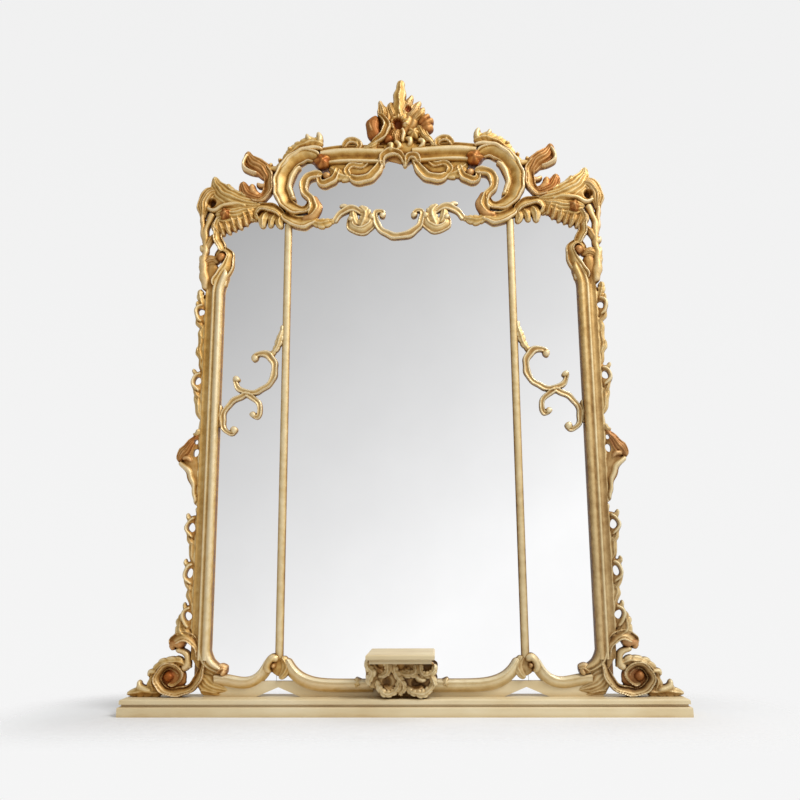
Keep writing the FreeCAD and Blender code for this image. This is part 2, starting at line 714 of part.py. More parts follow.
FOOT_VOLUTE_SHARES = [
    ("cove", 0.8, [(56.3, 9.6), (56.8, 6.6), (58.6, 3.4), (61.6, 1.5), (65.2, 1.2), (68.2, 3.0), (68.9, 5.4),
                   (67.2, 7.2), (64.8, 7.1), (63.6, 5.4)],
     [0.55, 0.65, 0.65, 0.65, 0.6, 0.55, 0.5, 0.45, 0.4, 0.25]),
    ("knob", 0.6, (65.2, 4.4), 0.85),
    ("knob", 0.85, (65.2, 5.0), 0.36),
    ("blade", 0.5, [(67.2, 6.9), (69.6, 7.3), (71.6, 6.3)], [0.5, 0.4, 0.14]),
    ("leaf", 0.55, [(67.6, 1.5), (71.6, 1.4), (75.0, 1.6), (77.6, 0.5)], [0.6, 0.75, 0.85, 0.24]),
    ("blade", 0.45, [(74.4, 1.8), (74.8, 3.6), (74.0, 4.9)], [0.55, 0.4, 0.12]),
]


# A pierced C-scroll on the outside of a stile and the leaf tip above it. Across, the shares
# are of how far it bulges; up, they are of half its height.
LOOP_LINE_SHARES = [(-0.1, -1.0), (0.72, -0.55), (0.76, 0.15), (0.45, 0.75), (-0.1, 1.0)]
LOOP_TIP_SHARES = [(0.3, 0.75), (0.55, 1.11), (0.85, 1.26)]


def border_loop(middle, half_height, bulge):
    def placed(table):
        return [(STILE_EDGE_SHARE + bulge * x, middle + half_height * z) for x, z in table]
    return [
        ("blade", 0.55, placed(LOOP_LINE_SHARES), [0.34, 0.38, 0.4, 0.36, 0.34]),
        ("blade", 0.4, placed(LOOP_TIP_SHARES), [0.34, 0.26, 0.1]),
    ]


LOWER_LOOP_SHARES = [(21.3, 4.4, 3.7), (33.8, 4.8, 2.6), (47.2, 5.0, 3.2)]
LOWER_BORDER_SHARES = [
    ("cove", 0.75, [(57.6, 10.6), (58.8, 13.8), (61.2, 15.3), (63.6, 15.1), (65.0, 14.0)],
     [0.4, 0.5, 0.55, 0.55, 0.35]),
    ("knob", 0.85, (64.6, 13.9), 0.36),
    ("leaf", 0.6, [(64.6, 12.7), (62.8, 11.8), (61.4, 10.2), (61.1, 8.2), (62.0, 6.4)],
     [0.3, 0.36, 0.36, 0.36, 0.3]),
    ("blade", 0.6, [(59.6, 15.6), (61.6, 17.8), (62.5, 19.8)], [0.5, 0.45, 0.3]),
    ("blade", 0.4, [(60.1, 14.0), (60.2, 30.0), (60.1, 53.0)], [0.3, 0.3, 0.3]),
]
for loop in LOWER_LOOP_SHARES:
    LOWER_BORDER_SHARES += border_loop(*loop)

UPPER_LOOP_SHARES = [(91.2, 4.6, 2.6), (112.8, 4.8, 2.8)]
UPPER_BORDER_SHARES = [
    ("cove", 0.6, [(60.1, 53.8), (60.6, 59.0), (61.6, 63.0), (64.0, 65.6), (66.4, 66.5)],
     [0.3, 0.34, 0.4, 0.4, 0.2]),
    ("cove", 0.6, [(66.2, 67.0), (64.8, 70.2), (62.7, 72.9), (60.0, 74.8)], [0.25, 0.5, 0.45, 0.35]),
    ("knob", 0.8, (64.3, 68.2), 0.42),
    ("blade", 0.5, [(59.8, 70.4), (62.2, 69.7), (64.2, 68.4)], [0.3, 0.28, 0.3]),
    ("blade", 0.4, [(60.1, 54.2), (60.2, 88.0), (60.1, 119.8)], [0.3, 0.3, 0.3]),
]
for loop in UPPER_LOOP_SHARES:
    UPPER_BORDER_SHARES += border_loop(*loop)

STILE_SCROLL_SHARES = [
    ("cove", 0.85, [(57.3, 118.6), (56.9, 122.0), (55.2, 126.0), (53.8, 129.0), (54.2, 131.7), (56.0, 132.4)],
     [1.35, 1.35, 1.2, 1.0, 0.75, 0.55, 0.35]),
    ("knob", 0.9, (55.6, 130.6), 0.36),
    ("leaf", 0.6, [(54.8, 131.6), (54.9, 135.0), (55.4, 139.0), (56.6, 142.2), (58.8, 145.4)],
     [0.45, 0.5, 0.5, 0.45, 0.4]),
    ("cove", 0.65, [(59.6, 120.4), (60.8, 126.0), (61.0, 130.0), (60.4, 134.8), (60.6, 138.8), (60.0, 142.6),
                    (58.4, 145.6)],
     [0.5, 0.6, 0.55, 0.45, 0.5, 0.45, 0.4]),
    ("blade", 0.5, [(60.8, 127.4), (62.0, 129.6), (61.7, 131.6)], [0.4, 0.3, 0.1]),
]
C_SCROLL_SHARES = [
    ("cove", 0.85, [(25.4, 163.3), (29.0, 164.7), (32.5, 163.7), (35.2, 160.7), (36.8, 157.2), (37.0, 154.2),
                    (36.2, 150.5), (34.2, 147.4), (31.2, 145.7), (28.5, 145.9), (26.8, 147.7), (27.4, 150.0)],
     [0.6, 0.9, 1.05, 1.1, 1.1, 1.1, 1.0, 0.9, 0.65, 0.4]),
    ("cove", 0.6, [(27.2, 149.6), (29.0, 151.9), (30.3, 155.0), (29.3, 157.9), (26.8, 159.2), (24.5, 158.5)],
     [0.4, 0.45, 0.45, 0.35, 0.2]),
    ("knob", 1.0, (23.8, 162.5), 0.52),
    ("leaf", 0.6, [(36.2, 145.2), (33.5, 142.8), (30.3, 141.4), (27.0, 142.1)], [0.5, 0.7, 0.6, 0.16]),
    ("leaf", 0.55, [(28.4, 144.6), (25.4, 144.5), (22.4, 143.6), (19.8, 141.7)], [0.5, 0.5, 0.45, 0.2]),
]
SCROLL_CREST_SHARES = [
    ("leaf", 0.75, [(37.4, 161.8), (35.6, 165.0), (32.2, 167.4), (28.2, 168.4), (24.6, 166.9)],
     [0.3, 0.8, 0.9, 0.8, 0.4]),
    ("blade", 0.6, [(32.0, 167.2), (30.3, 169.6), (29.3, 171.6)], [0.6, 0.42, 0.1]),
    ("blade", 0.6, [(28.2, 168.0), (26.4, 170.4), (25.4, 172.4)], [0.6, 0.42, 0.1]),
]
ARCH_RAIL_SHARES = [
    ("rail", 0.8, [(24.6, 163.6), (20.0, 165.1), (15.0, 165.4), (10.0, 165.0), (5.4, 165.0)],
     [1.3, 1.6, 1.6, 1.6, 1.5]),
    ("blade", 0.6, [(16.6, 167.6), (13.6, 168.7), (10.4, 167.9)], [0.34, 0.5, 0.24]),
]
ARCH_SCROLL_SHARES = [
    ("cove", 0.6, [(4.4, 164.0), (6.0, 160.6), (8.0, 157.3), (10.8, 155.7), (13.6, 155.6), (16.2, 157.0)],
     [0.4, 0.45, 0.45, 0.4, 0.36]),
    ("cove", 0.5, [(16.0, 156.8), (16.4, 159.3), (14.3, 160.9), (11.6, 160.9), (9.8, 162.2)],
     [0.36, 0.36, 0.32, 0.25]),
    ("leaf", 0.6, [(15.4, 156.9), (18.3, 156.8), (21.2, 158.4), (23.2, 161.2)], [0.3, 0.6, 0.6, 0.35]),
]
GADROON_LOBE_SHARES = [
    [(54.8, 147.4), (54.6, 143.6), (54.1, 139.2)],
    [(52.1, 147.4), (51.9, 143.6), (51.4, 139.6)],
    [(49.5, 147.4), (49.3, 143.8), (48.8, 140.5)],
    [(47.1, 147.4), (46.9, 144.2), (46.4, 141.4)],
]
CORNER_LEAF_SHARES = [
    ("leaf", 1.0, [(41.4, 148.4), (46.6, 149.0), (52.0, 149.6), (56.0, 152.2), (58.2, 155.4), (59.1, 158.3)],
     [0.6, 0.95, 1.4, 1.2, 0.75, 0.1]),
    ("blade", 0.75, [(52.8, 150.4), (52.2, 153.0), (51.3, 154.7)], [0.75, 0.55, 0.14]),
    ("blade", 0.75, [(50.2, 150.4), (49.8, 153.6), (49.4, 156.5)], [0.75, 0.55, 0.14]),
    ("blade", 0.7, [(47.4, 150.0), (47.0, 153.0), (46.4, 155.6)], [0.65, 0.5, 0.14]),
    ("leaf", 0.8, [(56.0, 146.0), (59.5, 146.8), (61.5, 149.2), (61.1, 152.3)], [0.75, 0.75, 0.65, 0.14]),
]
GADROON_SHARES = [
    ("blade", 0.6, [(56.4, 146.8), (50.0, 147.2), (44.0, 147.2)], [0.5, 0.6, 0.5]),
    ("knob", 0.95, (54.4, 144.6), 0.5),
    ("leaf", 0.7, [(43.4, 145.4), (44.6, 146.9), (42.2, 147.7), (39.2, 147.2), (37.0, 145.2), (36.4, 142.2)],
     [0.4, 0.55, 0.6, 0.6, 0.5, 0.16]),
    ("blade", 0.65, [(44.8, 146.4), (43.9, 143.4), (42.7, 141.0)], [0.7, 0.65, 0.16]),
    ("blade", 0.55, [(41.2, 146.2), (40.2, 144.0), (39.2, 142.6)], [0.5, 0.45, 0.2]),
]
GADROON_SHARES += [("blade", 0.7, line, [0.7, 0.72, 0.42]) for line in GADROON_LOBE_SHARES]
HORN_SHARES = [
    ("cove", 0.7, [(49.2, 155.2), (47.8, 152.7), (45.5, 151.0), (43.0, 150.8), (41.2, 152.6), (40.7, 155.5),
                   (41.1, 158.7), (42.6, 161.2)],
     [0.36, 0.5, 0.56, 0.56, 0.6, 0.66, 0.75]),
    ("leaf", 0.9, [(41.8, 159.4), (44.4, 162.2), (47.2, 162.6), (48.7, 160.8), (47.8, 159.3)],
     [0.75, 0.95, 0.9, 0.6, 0.25]),
    ("blade", 0.6, [(46.0, 162.6), (47.0, 165.2), (47.5, 167.1)], [0.6, 0.36, 0.1]),
    ("blade", 0.5, [(42.8, 160.4), (41.6, 162.0), (41.1, 163.0)], [0.45, 0.28, 0.1]),
]
CREST_SHARES = [
    ("knob", 0.9, (0.4, 169.4), 1.5),
    ("leaf", 0.75, [(0.3, 171.5), (0.5, 180.5), (0.8, 186.0), (0.9, 190.9)], [0.8, 0.8, 0.6, 0.08]),
    ("blade", 0.7, [(2.0, 173.0), (3.4, 180.5), (4.0, 185.3)], [0.65, 0.55, 0.08]),
    ("blade", 0.7, [(3.4, 172.4), (5.6, 179.2), (6.6, 183.4)], [0.65, 0.55, 0.08]),
    ("blade", 0.75, [(4.2, 171.0), (7.2, 177.2), (8.2, 180.9)], [0.65, 0.6, 0.1]),
    ("blade", 0.7, [(-1.2, 173.0), (-2.0, 179.5), (-2.1, 183.6)], [0.6, 0.5, 0.08]),
    ("blade", 0.7, [(-2.4, 172.4), (-4.5, 179.5), (-5.3, 184.0)], [0.65, 0.6, 0.08]),
    ("blade", 0.75, [(-3.4, 171.0), (-5.9, 175.5), (-6.8, 180.2)], [0.65, 0.6, 0.14]),
    ("cove", 0.95, [(-2.8, 167.8), (-6.6, 169.6), (-8.8, 173.6), (-7.6, 177.4)], [0.85, 0.95, 0.75, 0.2]),
    ("cove", 0.95, [(3.6, 167.8), (8.2, 168.8), (11.2, 172.4), (11.0, 176.4)], [0.85, 0.95, 0.75, 0.2]),
    ("leaf", 0.85, [(-6.8, 164.8), (-3.6, 162.4), (0.2, 163.6), (4.0, 162.4), (7.0, 164.8)],
     [0.5, 0.7, 0.75, 0.7, 0.5]),
    ("blade", 0.7, [(1.8, 163.6), (2.0, 161.6), (2.0, 160.2)], [0.5, 0.4, 0.14]),
    ("knob", 1.25, (-3.5, 169.0), 0.5),
    ("knob", 1.3, (4.4, 170.0), 0.56),
]
FESTOON_LINK_SHARES = [
    ("cove", 0.8, [(8.0, 143.4), (8.8, 141.0), (11.0, 139.5), (13.4, 139.6), (15.2, 141.2), (15.6, 143.4)],
     [0.25, 0.32, 0.34, 0.32, 0.2]),
    ("leaf", 0.9, [(11.8, 139.6), (10.9, 142.6), (11.2, 145.4), (12.8, 147.4)], [0.36, 0.42, 0.36, 0.14]),
    ("cove", 0.8, [(11.4, 145.0), (13.6, 146.2), (16.0, 146.4), (18.4, 145.2), (20.6, 142.2)],
     [0.28, 0.34, 0.34, 0.34, 0.3]),
]
FESTOON_HALF_SHARES = [(5.0, 143.9), (5.5, 145.5), (6.9, 145.3), (7.4, 143.4), (6.8, 141.2), (5.0, 138.9),
                       (2.6, 137.5)]
FESTOON_CENTRE_SHARES = [
    ("cove", 1.0,
     [(-x, z) for x, z in FESTOON_HALF_SHARES] + [(0, 137.1)] + FESTOON_HALF_SHARES[::-1],
     [0.2, 0.32, 0.42, 0.5, 0.55, 0.5, 0.42, 0.32, 0.2]),
]
APPLIQUE_SHARES = [
    ("cove", 1.0, [(44.5, 98.6), (43.0, 99.8), (40.6, 99.6), (38.8, 97.8), (38.0, 95.0), (38.8, 91.6),
                   (41.2, 89.0), (44.6, 87.7), (48.0, 88.4), (49.9, 90.4), (50.0, 92.0)],
     [0.25, 0.4, 0.46, 0.4, 0.36, 0.36, 0.38, 0.36, 0.3, 0.22]),
    ("cove", 0.9, [(46.0, 87.4), (49.6, 85.8), (52.2, 83.4), (53.3, 80.8), (53.4, 78.2), (52.4, 76.2),
                   (50.9, 75.3), (49.6, 75.7)],
     [0.3, 0.36, 0.34, 0.32, 0.34, 0.36, 0.2]),
    ("cove", 0.9, [(47.0, 87.4), (44.4, 86.0), (42.6, 84.0), (42.2, 81.8), (43.2, 80.2), (44.5, 80.6)],
     [0.32, 0.38, 0.36, 0.32, 0.25, 0.18]),
    ("leaf", 0.9, [(39.4, 98.6), (38.0, 101.2), (36.7, 104.0), (36.0, 108.8)], [0.28, 0.36, 0.4, 0.16]),
    ("blade", 0.9, [(54.5, 84.0), (54.3, 80.6), (54.5, 77.0)], [0.16, 0.34, 0.16]),
]

deep = size("scroll_relief")
shallow = size("applied_relief")
carve_pair("divider_foot", DIVIDER_FOOT_SHARES, deep, glass_front)
carve_pair("outer_swag", OUTER_SWAG_SHARES, deep, panel_plane)
carve_pair("inner_swag", INNER_SWAG_SHARES, deep, glass_front)
carve_pair("foot_volute", FOOT_VOLUTE_SHARES, deep, panel_plane)
carve_pair("lower_border", LOWER_BORDER_SHARES, deep, panel_plane)
carve_pair("upper_border", UPPER_BORDER_SHARES, deep, panel_plane)
carve_pair("stile_scroll", STILE_SCROLL_SHARES, deep, panel_plane)
carve_pair("c_scroll", C_SCROLL_SHARES, deep, panel_plane)
carve_pair("corner_leaf", CORNER_LEAF_SHARES, deep, panel_plane)
carve_pair("gadroon", GADROON_SHARES, deep, panel_plane)
carve_pair("horn", HORN_SHARES, deep, panel_plane)
carve_pair("scroll_crest", SCROLL_CREST_SHARES, deep, panel_plane)
carve_pair("arch_rail", ARCH_RAIL_SHARES, deep, panel_plane)
carve_pair("arch_scroll", ARCH_SCROLL_SHARES, deep, panel_plane)
carve_centre("crest_shell", CREST_SHARES, deep, panel_plane)
carve_pair("festoon_link", FESTOON_LINK_SHARES, shallow, glass_front)
carve_centre("festoon_centre", FESTOON_CENTRE_SHARES, shallow, glass_front)
carve_pair("applique", APPLIQUE_SHARES, shallow, glass_front)

doc.recompute()

# Nothing is written unless every object is sound
for item in doc.Objects:
    if "Invalid" in item.State or "Error" in item.State:
        raise RuntimeError(f"{item.Label} failed: {item.State}")
for item in pieces:
    if item.Shape.isNull() or not item.Shape.isValid():
        raise RuntimeError(f"{item.Label} has no valid shape")

os.makedirs("parts", exist_ok=True)
for item in pieces:
    item.Shape.exportStep(os.path.join("parts", item.Label + ".step"))
    print(item.Label, len(item.Shape.Solids), "solid", round(item.Shape.Volume), "cubic mm")
print(len(pieces), "pieces")
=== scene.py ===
# %% [markdown]
# # A carved overmantel mirror
# An overmantel stands on the shelf of a fireplace. This one has three mirror plates in a frame of
# carved, gilded and cream-painted wood. The lesson starts from the joiner's solids, keeps the plates,
# boards and fittings, and lays finer carving over the plain blanks.

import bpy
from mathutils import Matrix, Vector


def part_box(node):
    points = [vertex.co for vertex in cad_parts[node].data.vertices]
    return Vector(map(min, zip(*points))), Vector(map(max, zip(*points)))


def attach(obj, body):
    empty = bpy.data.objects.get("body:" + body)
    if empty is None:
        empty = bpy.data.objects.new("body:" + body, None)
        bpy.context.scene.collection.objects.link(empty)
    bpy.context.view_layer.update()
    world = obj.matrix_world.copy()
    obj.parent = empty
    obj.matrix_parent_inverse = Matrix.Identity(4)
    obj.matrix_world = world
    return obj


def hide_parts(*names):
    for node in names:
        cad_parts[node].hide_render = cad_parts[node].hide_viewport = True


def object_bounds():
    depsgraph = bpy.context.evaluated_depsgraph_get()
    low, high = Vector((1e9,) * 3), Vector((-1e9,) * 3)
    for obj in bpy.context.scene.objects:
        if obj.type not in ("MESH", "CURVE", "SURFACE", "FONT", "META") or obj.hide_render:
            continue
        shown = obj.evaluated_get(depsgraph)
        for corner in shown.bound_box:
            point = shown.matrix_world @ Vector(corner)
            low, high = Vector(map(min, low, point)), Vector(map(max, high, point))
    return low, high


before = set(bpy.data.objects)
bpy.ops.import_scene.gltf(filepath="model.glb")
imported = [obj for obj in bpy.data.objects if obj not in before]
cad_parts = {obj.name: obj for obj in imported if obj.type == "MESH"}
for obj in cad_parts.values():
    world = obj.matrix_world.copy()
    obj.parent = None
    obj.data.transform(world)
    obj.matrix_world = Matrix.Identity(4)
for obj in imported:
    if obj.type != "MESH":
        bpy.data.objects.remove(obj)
cad_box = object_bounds()
print(len(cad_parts), "solids in a box from", tuple(cad_box[0]), "to", tuple(cad_box[1]))

# %% [markdown]
# ## The carver's drawing
# Rococo carving is set out on squared paper: every scroll is a line through a few crossings. The same
# is done here. One square is a sixtieth of the distance from the centre line to the outside of a
# stile, and heights are counted up from the top of the plinth, so all places follow the solids.

# %% Squares, planes and depths
import math
from functools import partial

import bpy
import numpy as np
from mathutils import Matrix, Vector

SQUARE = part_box("right_stile")[1].x / 60
PLINTH_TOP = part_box("plinth_cap")[1].z
BOARD_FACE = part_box("right_backboard")[0].y
GLASS_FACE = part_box("right_plate")[0].y
DEEP = BOARD_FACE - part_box("right_c_scroll")[0].y
SHALLOW = DEEP * 0.4
print("one square is", round(SQUARE * 1000, 2), "mm; the carving stands", round(DEEP * 1000, 1), "mm proud")

# %% [markdown]
# ## Finishes from nodes
# Every finish in this lesson is made from a handful of node patterns: a noise cloud, a sum, a colour
# ramp, a mix. Small helpers keep the later cells short. Colours are written as they look on a screen
# and turned into the light values that the shader works with.

# %% Helpers for node finishes
def tint(red, green, blue):
    """Screen values from 0 to 255 as linear light."""
    parts = [value / 255 for value in (red, green, blue)]
    return tuple(p / 12.92 if p < 0.04045 else ((p + 0.055) / 1.055) ** 2.4 for p in parts)


def new_finish(name):
    """An empty finish, its node tree and its shader."""
    finish = bpy.data.materials.new(name)
    finish.use_nodes = True
    return finish, finish.node_tree, finish.node_tree.nodes["Principled BSDF"]


def maths(tree, kind, *values):
    """One sum of numbers and sockets."""
    item = tree.nodes.new("ShaderNodeMath")
    item.operation = kind
    for socket, value in zip(item.inputs, values):
        if isinstance(value, (int, float)):
            socket.default_value = value
        else:
            tree.links.new(value, socket)
    return item.outputs["Value"]


# %% Clouds, ramps and mixes
def cloud(tree, scale, detail=3.0, stretch=(1, 1, 1)):
    """Noise in the object's own space; stretch draws it out along an axis."""
    place = tree.nodes.new("ShaderNodeTexCoord")
    turn = tree.nodes.new("ShaderNodeMapping")
    turn.inputs["Scale"].default_value = stretch
    noise = tree.nodes.new("ShaderNodeTexNoise")
    noise.inputs["Scale"].default_value = scale
    noise.inputs["Detail"].default_value = detail
    tree.links.new(place.outputs["Object"], turn.inputs["Vector"])
    tree.links.new(turn.outputs["Vector"], noise.inputs["Vector"])
    return noise.outputs["Fac"]


def ramp(tree, source, stops):
    """A colour ramp over a value; stops are places and colours."""
    item = tree.nodes.new("ShaderNodeValToRGB")
    bar = item.color_ramp
    bar.elements[0].position, bar.elements[0].color = stops[0][0], (*stops[0][1], 1)
    bar.elements[1].position, bar.elements[1].color = stops[-1][0], (*stops[-1][1], 1)
    for place, colour in stops[1:-1]:
        bar.elements.new(place).color = (*colour, 1)
    tree.links.new(source, item.inputs["Fac"])
    return item.outputs["Color"]


def mixed(tree, share, first, second):
    """The first colour, going over to the second as the share grows."""
    item = tree.nodes.new("ShaderNodeMix")
    item.data_type = "RGBA"
    for socket, value in zip((item.inputs[0], item.inputs[6], item.inputs[7]), (share, first, second)):
        if isinstance(value, tuple):
            socket.default_value = (*value, 1)
        else:
            tree.links.new(value, socket)
    return item.outputs[2]


def bumped(tree, shader, height, distance, strength=0.6):
    """Fine unevenness that only the light shows."""
    item = tree.nodes.new("ShaderNodeBump")
    item.inputs["Strength"].default_value = strength
    item.inputs["Distance"].default_value = distance
    tree.links.new(height, item.inputs["Height"])
    tree.links.new(item.outputs["Normal"], shader.inputs["Normal"])


def about_zero(tree, noise, strength):
    """A cloud as a lift or a drop about zero."""
    return maths(tree, "MULTIPLY", maths(tree, "SUBTRACT", noise, 0.5), strength)


def crevice_shade(tree, reach, darkest):
    """One in the open, falling to the darkest value where surfaces are close: painted shade in creases."""
    item = tree.nodes.new("ShaderNodeAmbientOcclusion")
    item.inputs["Distance"].default_value = reach
    item.samples = 8
    return maths(tree, "MULTIPLY_ADD", item.outputs["AO"], 1 - darkest, darkest)


def painted_mark(tree, name):
    """A value stored on the mesh's points."""
    item = tree.nodes.new("ShaderNodeAttribute")
    item.attribute_name = name
    return item.outputs["Fac"]


# %% [markdown]
# ## Gilding
# Water gilding is leaf gold over red clay, called bole, over gesso. Rubbed high edges turn pale, the
# hollows keep brown dirt, and the clay shows where the leaf is worn. A texture image could carry
# this, but here each point of a carving stores how high on its section it lies, and the ramp turns
# that into dirt with painted shade, gold, or rubbed edge with painted highlight. Where surfaces are
# close, an ambient occlusion node darkens the colour further, which is painted shade. Two more marks
# say where clay and cream paint show.

# %% The gilding
gilding, tree, shader = new_finish("worn_and_shaded_gilding")
mottle = cloud(tree, 55, 5)
patina = cloud(tree, 11, 3)
light_share = maths(tree, "ADD", painted_mark(tree, "tone"), about_zero(tree, mottle, 0.55))
light_share = maths(tree, "ADD", light_share, about_zero(tree, patina, 0.45))
# Painted shade: the gilding darkens where surfaces are close, found by an ambient occlusion node.
light_share = maths(tree, "MULTIPLY", light_share, crevice_shade(tree, 0.022, 0.25))
gold = ramp(tree, light_share, [(0.0, tint(70, 38, 6)), (0.14, tint(110, 66, 16)),
                                (0.32, tint(160, 112, 44)), (0.52, tint(196, 154, 82)),
                                (0.74, tint(218, 187, 126)), (1.0, tint(232, 208, 164))])
cream = ramp(tree, light_share, [(0.0, tint(96, 68, 34)), (0.2, tint(160, 128, 80)),
                                 (0.45, tint(198, 175, 130)), (0.75, tint(217, 197, 154)),
                                 (1.0, tint(232, 217, 180))])
print("gilding and cream ramps set")

# %% Bole, cream and the gilding's shine
patches = maths(tree, "MULTIPLY_ADD", patina, 1.6, 0.05)
clay_share = maths(tree, "MULTIPLY", painted_mark(tree, "bole"), patches)
clay = ramp(tree, light_share, [(0.0, tint(76, 30, 5)), (0.3, tint(118, 54, 12)), (0.6, tint(152, 80, 22)),
                                (0.85, tint(190, 120, 48)), (1.0, tint(226, 172, 98))])
clayed = mixed(tree, maths(tree, "MINIMUM", clay_share, 1.0), gold, clay)
coloured = mixed(tree, painted_mark(tree, "pale"), clayed, cream)
tree.links.new(coloured, shader.inputs["Base Color"])
shader.inputs["Metallic"].default_value = 0.3
shader.inputs["Specular IOR Level"].default_value = 0.2
tree.links.new(maths(tree, "MULTIPLY_ADD", mottle, 0.34, 0.28), shader.inputs["Roughness"])
bumped(tree, shader, cloud(tree, 240, 4), 0.0012, 0.35)
print(gilding.name, len(tree.nodes), "nodes")

# %% [markdown]
# ## Cream paint, mirror, wood and metal
# The plinth, shelf and dividers are cream paint over gesso, yellowed and rubbed. The plates are old
# silvered glass, a shade off perfect. The back is plain softwood, with steel screws and brass hangers.
# These solids keep their own mesh, so the finish alone has to carry the age. It also darkens where
# surfaces are close, which is painted shade.

# %% Aged cream paint
cream_paint, tree, shader = new_finish("aged_and_shaded_cream_paint")
streaks = cloud(tree, 26, 5, (0.18, 1, 1.6))
stains = cloud(tree, 7, 4)
wear_and_shading = maths(tree, "ADD", maths(tree, "MULTIPLY", streaks, 0.55), maths(tree, "MULTIPLY", stains, 0.45))
# Painted shade: the paint darkens where surfaces are close, on top of its streaks and stains.
wear_and_shading = maths(tree, "MULTIPLY", wear_and_shading, crevice_shade(tree, 0.014, 0.2))
paint = ramp(tree, wear_and_shading, [(0.06, tint(112, 80, 40)), (0.2, tint(182, 150, 100)),
                          (0.36, tint(210, 188, 144)), (0.55, tint(220, 202, 162)),
                          (0.8, tint(230, 216, 184))])
tree.links.new(paint, shader.inputs["Base Color"])
tree.links.new(maths(tree, "MULTIPLY_ADD", streaks, 0.3, 0.34), shader.inputs["Roughness"])
bumped(tree, shader, cloud(tree, 130, 4, (0.3, 1, 1)), 0.0008, 0.3)
print(cream_paint.name, len(tree.nodes), "nodes")

# %% Silvered glass
silvering, tree, shader = new_finish("old_silvered_glass")
haze = cloud(tree, 5, 4)
silvers = [(0.3, (0.95, 0.95, 0.955)), (0.7, (0.98, 0.98, 0.985))]
tree.links.new(ramp(tree, haze, silvers), shader.inputs["Base Color"])
shader.inputs["Metallic"].default_value = 1.0
tree.links.new(maths(tree, "MULTIPLY_ADD", haze, 0.02, 0.005), shader.inputs["Roughness"])
print(silvering.name, len(tree.nodes), "nodes")


# %% Softwood, steel and brass
def streaked(name, stops, scale, stretch, rough, metal, depth):
    """A finish that is drawn out along one axis, as grain or as polishing marks are."""
    finish, tree, shader = new_finish(name)
    grain = cloud(tree, scale, 6, stretch)
    tree.links.new(ramp(tree, grain, stops), shader.inputs["Base Color"])
    tree.links.new(maths(tree, "MULTIPLY_ADD", grain, 0.25, rough), shader.inputs["Roughness"])
    shader.inputs["Metallic"].default_value = metal
    bumped(tree, shader, grain, depth, 0.4)
    print(finish.name, len(tree.nodes), "nodes")
    return finish


upright_wood = streaked("upright_softwood", [(0.3, tint(112, 76, 44)), (0.5, tint(160, 118, 74)),
                                             (0.7, tint(186, 146, 98))], 60, (1, 1, 0.06), 0.5, 0.0, 0.0012)
level_wood = streaked("level_softwood", [(0.3, tint(104, 70, 40)), (0.5, tint(150, 108, 66)),
                                         (0.7, tint(178, 136, 90))], 60, (0.06, 1, 1), 0.5, 0.0, 0.0012)
steel = streaked("dull_steel", [(0.3, tint(118, 116, 112)), (0.7, tint(176, 174, 170))], 300, (1, 1, 1),
                 0.25, 1.0, 0.0002)
brass = streaked("aged_brass", [(0.3, tint(122, 88, 36)), (0.7, tint(206, 166, 88))], 220, (1, 1, 0.3), 0.2,
                 1.0, 0.0002)


# %% Lay the finishes on the solids that stay
def finish_node(name, finish):
    """Put a finish on a solid that keeps its own mesh."""
    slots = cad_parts[name].data.materials
    slots.clear()
    slots.append(finish)


KEPT = {
    cream_paint: ["plinth_base", "plinth_neck", "plinth_cap", "bottom_rail", "shelf_board"],
    silvering: ["left_plate", "centre_plate", "right_plate"],
    upright_wood: ["left_backboard", "centre_backboard", "right_backboard"],
    level_wood: ["bottom_back_rail", "middle_back_rail", "top_back_rail"],
    steel: ["rail_screws", "panel_screws", "strap_screws"],
    brass: ["left_hanger_strap", "right_hanger_strap", "left_ring", "right_ring"],
}
for finish, names in KEPT.items():
    for name in names:
        finish_node(name, finish)
    print(finish.name, "on", ", ".join(names))

# %% [markdown]
# ## A smooth line
# A scroll is a curve that never kinks. A Bezier curve object could be used, but its bevel can't swell
# and taper with a carved section. So the line is a natural cubic spline through the drawing's
# crossings, worked out with a small set of equations and then walked in even steps.

# %% Walk a smooth line in even steps
def smooth_line(crossings, step):
    """Points along the line, its heading there and the way travelled."""
    points = np.array(crossings, float)
    count = len(points)
    knots = np.concatenate([[0.0], np.cumsum(np.linalg.norm(np.diff(points, axis=0), axis=1))])
    gaps = np.diff(knots)
    rows, pull = np.eye(count), np.zeros_like(points)
    for n in range(1, count - 1):
        rows[n, n - 1:n + 2] = gaps[n - 1], 2 * (gaps[n - 1] + gaps[n]), gaps[n]
        pull[n] = 6 * ((points[n + 1] - points[n]) / gaps[n] - (points[n] - points[n - 1]) / gaps[n - 1])
    bend = np.linalg.solve(rows, pull)
    fine = np.linspace(0, knots[-1], 40 * count)
    span = np.clip(np.searchsorted(knots, fine, side="right") - 1, 0, count - 2)
    far = ((fine - knots[span]) / gaps[span])[:, None]
    near = 1 - far
    swing = (near ** 3 - near) * bend[span] + (far ** 3 - far) * bend[span + 1]
    curve = near * points[span] + far * points[span + 1] + swing * (gaps[span] ** 2)[:, None] / 6
    way = np.concatenate([[0.0], np.cumsum(np.linalg.norm(np.diff(curve, axis=0), axis=1))])
    even = np.linspace(0, way[-1], max(8, round(way[-1] / step)) + 1)
    path = np.column_stack([np.interp(even, way, curve[:, axis]) for axis in (0, 1)])
    run = np.gradient(path, even, axis=0)
    return path, run / np.linalg.norm(run, axis=1)[:, None], even


# %% [markdown]
# ## Sections
# A carver's tool leaves a section: a hollow between two rims for a scroll, a soft ridge with falling
# sides for a leaf, long flutes for an acanthus, a half round for a roll. Each is a row of points:
# place across the stroke, height, and tone of the gilding. The tone is high on rims and low in
# grooves: rubbed wear and painted highlight on the rims, dirt and painted shade in the grooves.
# Drawing half of it and turning it over keeps it even.

# %% Sections of scrolls and leaves
def both_sides(half):
    """A whole section from its left half."""
    return np.array(half + [(-across, *rest) for across, *rest in half[-2::-1]])


